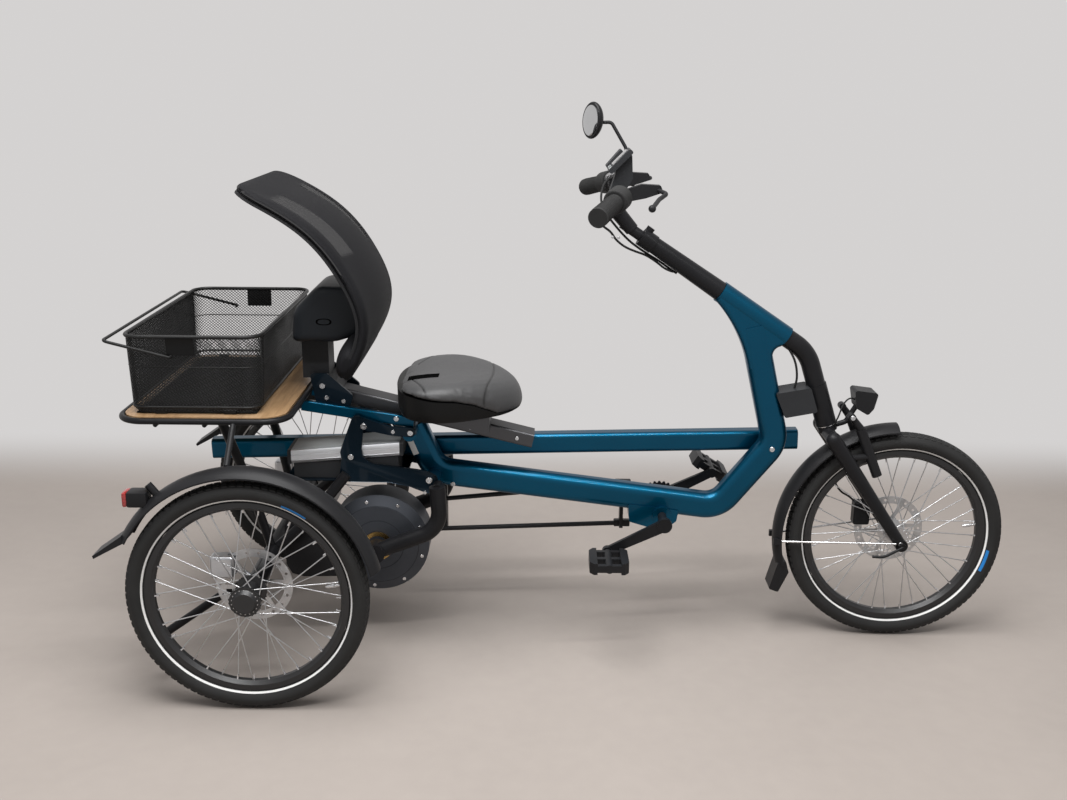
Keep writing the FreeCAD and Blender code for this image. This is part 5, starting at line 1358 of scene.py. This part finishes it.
fixings = {
    "rightSide": [  # x, y, z, head diameter
        (111.8, -53.0, 611.9, 13), (119.9, -53.0, 584.5, 10), (156.9, -53.0, 577.0, 10),
        (274.3, -67.0, 542.0, 12), (203.6, -81.5, 528.1, 14), (268.0, -81.5, 516.0, 9),
        (306.1, -81.5, 514.0, 13), (173.1, -81.5, 456.9, 13), (345.9, -81.5, 404.0, 15),
        (394.0, -24.0, 374.0, 11), (335.5, -81.5, 374.0, 8), (435.2, -28.0, 511.0, 10),
        (540.0, -28.0, 486.0, 9), (1116.0, -24.0, 464.0, 12),
    ],
    "clampScrews": [(744.3, 939.6), (757.4, 938.4)], "clampY": -20.5,
    "hubScrews": {  # y, facing; then the circle they stand on
        "sides": [(-67.8, -1), (11.0, 1)], "at": (226, 244), "reach": 103.0, "count": 9, "first": 63.4,
        "size": 8},
    "rotorScrews": {
        "sides": [(39.0, 1)], "at": (1415, 250), "reach": 22.0, "count": 6, "first": 12.0, "size": 7},
    "fork": [  # x, y, z, facing, head diameter
        (1284, -53.0, 548, -1, 11), (1284, 53.0, 548, 1, 11),
        (1411, -72.0, 256, -1, 9), (1411, 72.0, 256, 1, 14)],
    "stay": [(1142, 26, 240), (1400, 77.3, 258)], "stayWire": 2.4,
    "hubRing": [(24.6, 0), (34, 0), (34, 3.0), (32.5, 4.2), (24.6, 4.2)],
    "headRing": [(14.3, -1.9), (21.8, -1.9), (21.8, -0.2), (14.3, -0.2)],
}


def circleOf(values):
    rows = []
    x, z = values["at"]
    for index in range(values["count"]):
        turn = math.radians(values["first"] + 360 * index / values["count"])
        for y, facing in values["sides"]:
            place = spot(x + values["reach"] * math.cos(turn), y, z + values["reach"] * math.sin(turn))
            rows.append((place, (0, facing, 0), values["size"]))
    return rows


def makeFixings():
    shape = boltShape()
    rows = []
    for x, y, z, size in fixings["rightSide"]:
        for side in (1, -1):
            rows.append((spot(x, y * side, z), (0, -side, 0), size))
    rows += [(spot(x, fixings["clampY"], z), (0, -1, 0), 6) for x, z in fixings["clampScrews"]]
    forkRows = [(spot(x, y, z), (0, facing, 0), size) for x, y, z, facing, size in fixings["fork"]]
    for name, places, body in (
            ("frame_bolts", rows, "frame"), ("hub_screws", circleOf(fixings["hubScrews"]), "drive"),
            ("front_rotor_screws", circleOf(fixings["rotorScrews"]), "front_wheel"),
            ("fork_bolts", forkRows, "fork")):
        studded(name, places, body, extras["steel"], shape)
    bpy.data.objects.remove(shape)


def makeStays():
    # bright wire over the front mudguard's stays
    wires = []
    for side in (-1, 1):
        ends = [spot(x, side * y, z) for x, y, z in fixings["stay"]]
        wires.append(tubed("stay", ends, fixings["stayWire"] / 1000, extras["steel"]))
    carried(merged("mudguard_stays", wires), "fork")


makeFixings()
makeStays()
carried(lathed("hub_ring", fixings["hubRing"], spot(226, -84.2, 244), extras["brass"]),
        "drive")
carried(lathed("head_ring", fixings["headRing"], spot(1239.5, 0, 519), extras["steel"], (-0.3123, 0, 0.95)),
        "frame")
dressed("drive_hub", extras["hub"])
print("fixings placed")


# battery: an extruded case with ribbed sides between two end caps

battery = {
    "rear": 30.0, "front": 288.0, "right": -74.0, "left": 18.0, "top": 467.0,
    "rise": 0.086, "cap": 8.0, "base": 402.0,
    "side": [  # inwards from the side, down from the top, round two grooves
        (5.0, 0.0), (1.5, 1.0), (0.0, 4.0), (0.0, 11.0), (1.2, 11.6), (1.2, 12.6), (0.0, 13.2),
        (0.0, 22.0), (1.2, 22.6), (1.2, 23.6), (0.3, 24.4), (4.0, 31.0),
    ],
    "end": [(-0.4, 31.6), (-0.4, 3.0), (3.0, -0.5)],
    "foot": [(7.0, 65.0), (7.0, 30.0)], "footIn": 12.0,
    # the top plate, whose darker grey is painted shade
    "lid": [(5.5, 0.4), (5.5, -1.2)], "lidIn": 0.5,
}


def batteryRun(name, x0, x1, side, finish):
    # one side's outline and its mirror image, drawn along the case, which climbs towards the front
    right, left, top, base = (battery[key] for key in ("right", "left", "top", "base"))
    outline = [(right + inward, top - down) for inward, down in side]
    outline += [(left + right - y, z) for y, z in outline[::-1]]
    rings = []
    for x in (x0, x1):
        climb = (x - battery["rear"]) * battery["rise"]
        rings.append([spot(x, y, z + climb if z > base else z) for y, z in outline])
    return skinned(name, rings, finish)


def makeBattery():
    # a ribbed extrusion with black ends, on a black base; its dull, darker grey top plate is painted shade
    # over the silver case's top
    rear, front, cap = (battery[key] for key in ("rear", "front", "cap"))
    case = batteryRun("battery_case", rear + cap, front - cap, battery["side"], extras["case"])
    carried(case, "frame", ("battery",))
    dark = finishes["dark_grey_plastic"]
    inset = battery["footIn"]
    caps = [batteryRun("cap", x, x + cap, battery["end"], dark) for x in (rear, front - cap)]
    caps.append(batteryRun("foot", rear + inset, front - inset, battery["foot"], dark))
    carried(merged("battery_caps", caps), "frame")
    inset = cap + battery["lidIn"]
    # painted shade: the top of the silver case drawn darker
    lid = batteryRun("battery_top", rear + inset, front - inset, battery["lid"], extras["lid"])
    carried(lid, "frame")


# side plates and the chain's case

plates = {
    "between": {"side": (75.0, 81.0), "arm": (75.4, 80.6)}, "chainCase": (-107.0, -92.0),
    "eased": 0.8, "easedShare": 0.985,
    "side": [(178, 546), (184, 552), (194, 552), (200, 546), (201, 517), (196, 474), (199, 457), (208, 447),
             (223, 439), (291, 431), (340, 424), (362, 412), (368, 396), (362, 380), (346, 372), (330, 376),
             (300, 388), (256, 397), (160, 398), (150, 402), (146, 412), (152, 452), (149, 467), (160, 499)],
    "arm": [(190, 546), (200, 548), (262, 527), (309, 524), (317, 519), (318, 510), (309, 503), (262, 507),
            (205, 519)],
    "tray": (24.0, 292.0, 397.0, 402.0),
    "case": [(22, 208), (34, 186), (60, 178), (146, 180), (150, 186), (150, 330), (120, 345), (60, 340),
             (30, 318), (22, 300)],
}


def flatPart(name, outline, y0, y1, finish):
    # a plate with its long edges eased
    middle = Vector((sum(x for x, z in outline), sum(z for x, z in outline))) / len(outline)
    rings = []
    eased, small = plates["eased"], plates["easedShare"]
    for y, share in ((y0, small), (y0 + eased, 1.0), (y1 - eased, 1.0), (y1, small)):
        rings.append([spot(middle.x + (x - middle.x) * share, y, middle.y + (z - middle.y) * share)
                      for x, z in outline])
    return skinned(name, rings, finish)


def makePlates():
    navy = finishes["navy_paint"]
    parts = []
    for side in (-1, 1):
        for key, (inner, outer) in plates["between"].items():
            parts.append(flatPart(key, plates[key], side * inner, side * outer, navy))
    x0, x1, z0, z1 = plates["tray"]
    reach = plates["between"]["side"][0]
    parts.append(chamfered("tray", spot(x0, -reach, z0), spot(x1, reach, z1), 0.0006, navy))
    carried(merged("side_plates", parts), "frame", ("frame_plates",))
    cover = flatPart("chain_case", plates["case"], *plates["chainCase"], finishes["black_plastic"])
    carried(cover, "frame")


makePlates()
makeBattery()
print("battery made")


# lamps, mirror, display and grips

lamps = {
    "y": 356.5, "rear": -234.0, "low": 446.0, "long": 50.0, "tall": 32.0, "wide": 36.0, "lens": 9.0,
    "markerFrom": 4.0, "markerTo": 15.0, "markerIn": 9.0,
    "footDegrees": 127.5, "footFrom": 278.5, "footTo": 303.0, "footRadius": 8.0,
}
headlamp = {
    "high": (1344.5, 0, 593), "low": (1337.0, 0, 562), "ahead": (0.97, 0, -0.24), "half": 19.0,
    "tallShare": 0.86, "power": 0.6, "rows": [(1.0, -2.0), (1.0, 0.6), (0.86, 1.5), (0.0, 2.6)],
}
mirror = {
    "at": (701, 200, 1174), "normal": (-0.81, -0.58, 0), "side": (0.58, -0.81, 0), "leanDegrees": 14.0,
    "long": 39.48, "short": 30.08,
    "rows": [(0.88, -1.0), (0.88, 1.2), (0.86, 1.6), (0.5, 2.0), (0.0, 2.1)],
}
display = {
    "low": (731, 0, 1080), "high": (777, 0, 1126), "rows": [(1.0, -0.8), (1.0, 0.5), (0.94, 1.0)],
    "screen": (-20, 34, 0.24, 0.93), "keys": [(-18, -2, 0.06, 0.17), (16, 32, 0.06, 0.17)],  # y, share along
}
grips = {
    "inner": (752, 165, 1042), "outer": (699, 300, 1015),
    "clampAt": 142.5, "clamp": [(11.4, 0), (19.5, 0), (19.5, 3.5), (11.4, 3.5)],
    "ribs": 14, "ribFirst": 8.0, "ribStep": 6.3, "radius": 19.85, "taper": 2.0 / 103,
    "rib": [(-1.6, -1.0), (0, -0.8), (0.25, 0), (0, 0.8), (-1.6, 1.0)],
}


def makeTailLamps():
    black, red = finishes["black_plastic"], finishes["red_lens"]
    bodies, lenses = [], []
    low, high = lamps["low"], lamps["low"] + lamps["tall"]
    x0, x1 = lamps["rear"] + lamps["lens"], lamps["rear"] + lamps["long"]
    half = lamps["wide"] / 2
    turn = math.radians(lamps["footDegrees"])
    for side in (-1, 1):
        y = side * lamps["y"]
        bodies.append(chamfered("lampBody", spot(x0, y - half, low), spot(x1, y + half, high), 0.005, black))
        axle = spot(0, y, 250)
        foot = [axle + fromHub(lamps[key], turn) for key in ("footFrom", "footTo")]
        bodies.append(tubed("foot", foot, lamps["footRadius"] / 1000, black))
        lenses.append(chamfered("lens", spot(lamps["rear"], y - half + 1, low + 1),
                                spot(x0 + 1, y + half - 1, high - 1), 0.004, red))
        edge, inset = y + side * (half - 1), lamps["markerIn"]
        lenses.append(chamfered("marker", spot(x0 + lamps["markerFrom"], edge - 0.9, low + inset),
                                spot(x0 + lamps["markerTo"], edge + 1.4, high - inset), 0.0008, red))
    carried(merged("lamp_bodies", bodies), "frame", ("tail_lights",))
    carried(merged("lamp_lenses", lenses), "frame")


def makeHeadlamp():  # a clear front lens
    high, low = Vector(headlamp["high"]), Vector(headlamp["low"])
    lens = faced(
        "headlamp_lens", (high + low) / 2, (high - low) / 2 * headlamp["tallShare"],
        Vector((0, headlamp["half"], 0)), Vector(headlamp["ahead"]),
        roundOutline(28, (headlamp["power"], headlamp["power"])), headlamp["rows"], extras["lamp"])
    carried(lens, "fork")


def makeMirrorGlass():
    normal, side = (Vector(mirror[key]).normalized() for key in ("normal", "side"))
    lean = math.radians(mirror["leanDegrees"])
    up = Vector((0, 0, 1)) * math.cos(lean) + side * math.sin(lean)
    glass = faced(
        "mirror_glass", Vector(mirror["at"]), up * mirror["long"], normal.cross(up) * mirror["short"],
        normal, roundOutline(48), mirror["rows"], extras["glass"])
    carried(glass, "handlebar")


def displayFace(name, place, finish):
    low, high = Vector(display["low"]), Vector(display["high"])
    along = (high - low).normalized()
    y0, y1, start, end = place
    middle = low + (high - low) * (start + end) / 2 + Vector((0, (y0 + y1) / 2, 0))
    return faced(
        name, middle, (high - low) * (end - start) / 2, Vector((0, (y1 - y0) / 2, 0)),
        Vector((-along.z, 0, along.x)), [(-1, -1), (1, -1), (1, 1), (-1, 1)], display["rows"], finish)


def makeDisplay():
    # a dark screen let into the display, with two keys beside it
    screen = displayFace("display_screen", display["screen"], extras["screen"])
    carried(screen, "handlebar")
    keys = [displayFace("key", place, extras["lid"]) for place in display["keys"]]
    carried(merged("display_keys", keys), "handlebar")


def makeGrips():
    # silver clamps between the grips' barrels and the levers, and ribs round the rubber
    bright, ribs = [], []
    for side in (-1, 1):
        inner, outer = (copied(Vector(grips[key]), side) for key in ("inner", "outer"))
        way = (inner - outer).normalized()
        bright.append(lathed("clamp", grips["clamp"], spot(*(outer + way * grips["clampAt"])),
                             extras["steel"], way, 40))
        for step in range(grips["ribs"]):
            reach = grips["ribFirst"] + step * grips["ribStep"]
            radius = grips["radius"] - grips["taper"] * reach
            profile = [(radius + out, along) for out, along in grips["rib"]]
            ribs.append(lathed(
                "rib", profile, spot(*(outer + way * reach)), finishes["grip_rubber"], way, 32))
    carried(merged("grip_clamps", bright), "handlebar")
    carried(merged("grip_ribs", ribs), "handlebar")


makeTailLamps()
makeHeadlamp()
makeMirrorGlass()
makeDisplay()
makeGrips()
print("controls dressed")


# hoses and leads, each one smooth line between the two fittings that hold it

hoses = {
    "brake_hose_right": ("handlebar", 5.0, [
        (762, -128, 1052), (744, -132, 1052), (722, -122, 1034), (707, -98, 1004), (708, -62, 980),
        (725, -28, 962), (741, -12, 950), (752, -6, 932), (772, -4, 916), (796, -2, 906), (818, -1, 899),
        (842, 0, 884), (864, 0, 866), (880, 0, 862)]),
    "brake_hose_left": ("handlebar", 5.0, [
        (762, 128, 1052), (744, 132, 1052), (728, 122, 1036), (722, 90, 1008), (728, 52, 986),
        (746, 22, 966), (762, 9, 948), (782, 6, 928), (804, 5, 912), (826, 5, 898), (850, 5, 884),
        (872, 4, 868), (888, 3, 858)]),
    "controller_lead": ("frame", 5.0, [
        (1138, -9, 698), (1147, -11, 686), (1158, -12, 664), (1163, -12, 640), (1164, -10, 618),
        (1160, -8, 603)]),
    "headlamp_lead": ("fork", 3.6, [
        (1257, -13, 510), (1254, -19, 524), (1262, -21, 544), (1268, -18, 566), (1282, -12, 582),
        (1298, -8, 580), (1304, -5, 571)]),
    "front_brake_hose": ("fork", 4.6, [
        (1334, 46, 312), (1322, 50, 324), (1302, 56, 332), (1288, 60, 352), (1282, 66, 384), (1276, 74, 420),
        (1268, 78, 452), (1262, 72, 478), (1258, 60, 494)]),
}


def makeHose(name, body, diameter, route):
    data = bpy.data.curves.new(name, "CURVE")
    data.dimensions = "3D"
    line = data.splines.new("NURBS")
    line.points.add(len(route) - 1)
    for point, place in zip(line.points, route):
        point.co = (*spot(*place), 1.0)
    line.order_u = 3
    line.use_endpoint_u = True
    data.resolution_u = 8
    piece = placed(name, data)
    bpy.context.view_layer.update()
    bare = bpy.data.meshes.new_from_object(piece)
    bpy.data.meshes.remove(bare)
    data.bevel_depth = diameter / 2000
    data.bevel_resolution = 4
    data.use_fill_caps = True
    data.materials.append(extras["hose"])
    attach(piece, body)
    tuple(spot(*route[0]))


for name, (body, diameter, route) in hoses.items():
    makeHose(name, body, diameter, route)
print("hoses laid:", len(hoses))


# a blank label on the tube's side

label = {"low": (296, -24.6, 442), "high": (309, -23.6, 494), "degrees": -22.0, "about": (302, -24.2, 467)}
carried(chamfered("blank_label", spot(*label["low"]), spot(*label["high"]), 0.0002, extras["label"],
                  Matrix.Rotation(math.radians(label["degrees"]), 3, "Y"), spot(*label["about"])),
        "frame")


# stage and light

stage = {
    "floorShade": (0.36, 0.32, 0.292),
    "wallShade": (0.66, 0.645, 0.64),
    "floorReach": 40.0,
    "footprint": (2.6, 0.55),
    "fadeFrom": 0.34, "fadeOver": 0.62,
    "lowLevel": 0.26, "highLevel": 0.80,
    "lamps": [  # name, size, power, place: a broad soft lamp, and a long tube for the lacquer's glints
        ("overhead", (2.0, 2.0), 110.0, (-0.5, -0.7, 3.2)),
        ("stripLight", (2.6, 0.10), 36.0, (0.2, -1.5, 2.6)),
    ],
}


def makeFloor(values):
    # pale concrete that fades into the backdrop a little way off the trike's footprint
    reach = values["floorReach"]
    mesh = bpy.data.meshes.new("floor")
    corners = [(-reach, -reach, 0), (reach, -reach, 0), (reach, reach, 0), (-reach, reach, 0)]
    mesh.from_pydata(corners, [], [(0, 1, 2, 3)])
    floor = placed("floor", mesh)
    finish = Finish("concrete", {"Roughness": 0.55, "Specular IOR Level": 0.3})
    x, y = finish.axes()[:2]
    halfLong, halfWide = values["footprint"]
    outX, outY = (abs(x) - halfLong).atLeast(0.0), (abs(y) - halfWide).atLeast(0.0)
    away = (((outX * outX + outY * outY).root() - values["fadeFrom"]) / values["fadeOver"]).limited()
    cloud = finish.noise(1.6, 5.0, 0.6)
    speck = finish.noise(26.0, 4.0, 0.6)
    mottled = finish.blended(
        (cloud * 0.7 + speck * 0.3).limited(), toned(values["floorShade"], 0.86),
        toned(values["floorShade"], 1.12))
    finish.feed(colour=mottled, normal=finish.bump(speck, 0.0004, 0.3))
    glow = finish.node("ShaderNodeEmission", {}, {"Color": values["wallShade"], "Strength": 1.0})
    mixed = finish.node("ShaderNodeMixShader", {}, {
        0: away * away * (3.0 - away * 2.0), 1: Strand(finish, finish.shader.outputs[0]), 2: glow})
    finish.tree.links.new(mixed.socket, finish.tree.nodes["Material Output"].inputs["Surface"])
    mesh.materials.append(finish.material)


def makeWorld(values):
    # an even surround, brighter overhead; what the eye sees, itself or in metal and glass, stays plain
    world = bpy.data.worlds.new("studio")
    world.use_nodes = True
    scene.world = world
    surround = Tree()
    surround.tree = world.node_tree
    path = surround.node("ShaderNodeLightPath", {}, {}, "Is Camera Ray")
    rays = path.socket.node.outputs
    glossy, through = (Strand(surround, rays[name]) for name in ("Is Glossy Ray", "Is Transmission Ray"))
    seen = (path + glossy + through).limited()
    place = surround.node("ShaderNodeTexCoord", {}, {}, "Generated")
    parted = surround.node("ShaderNodeSeparateXYZ", {}, {"Vector": place}, "Z")
    level = values["lowLevel"] + parted.limited() * (values["highLevel"] - values["lowLevel"])
    strength = seen + (1.0 - seen) * level
    backdrop = surround.tree.nodes["Background"]
    backdrop.inputs["Color"].default_value = (*values["wallShade"], 1.0)
    surround.tree.links.new(strength.socket, backdrop.inputs["Strength"])


def makeLamp(name, size, power, place):
    # a lamp the eye doesn't see, turned to the middle of the floor
    light = bpy.data.lights.new(name, "AREA")
    light.shape = "RECTANGLE"
    light.size, light.size_y = size
    light.energy = power
    holder = placed(name, light)
    holder.location = place
    holder.rotation_euler = (-Vector(place)).to_track_quat("-Z", "Y").to_euler()
    holder.visible_camera = False


makeFloor(stage)
makeWorld(stage)
for lamp in stage["lamps"]:
    makeLamp(*lamp)
scene.view_settings.view_transform = "Standard"
print("stage and light set")
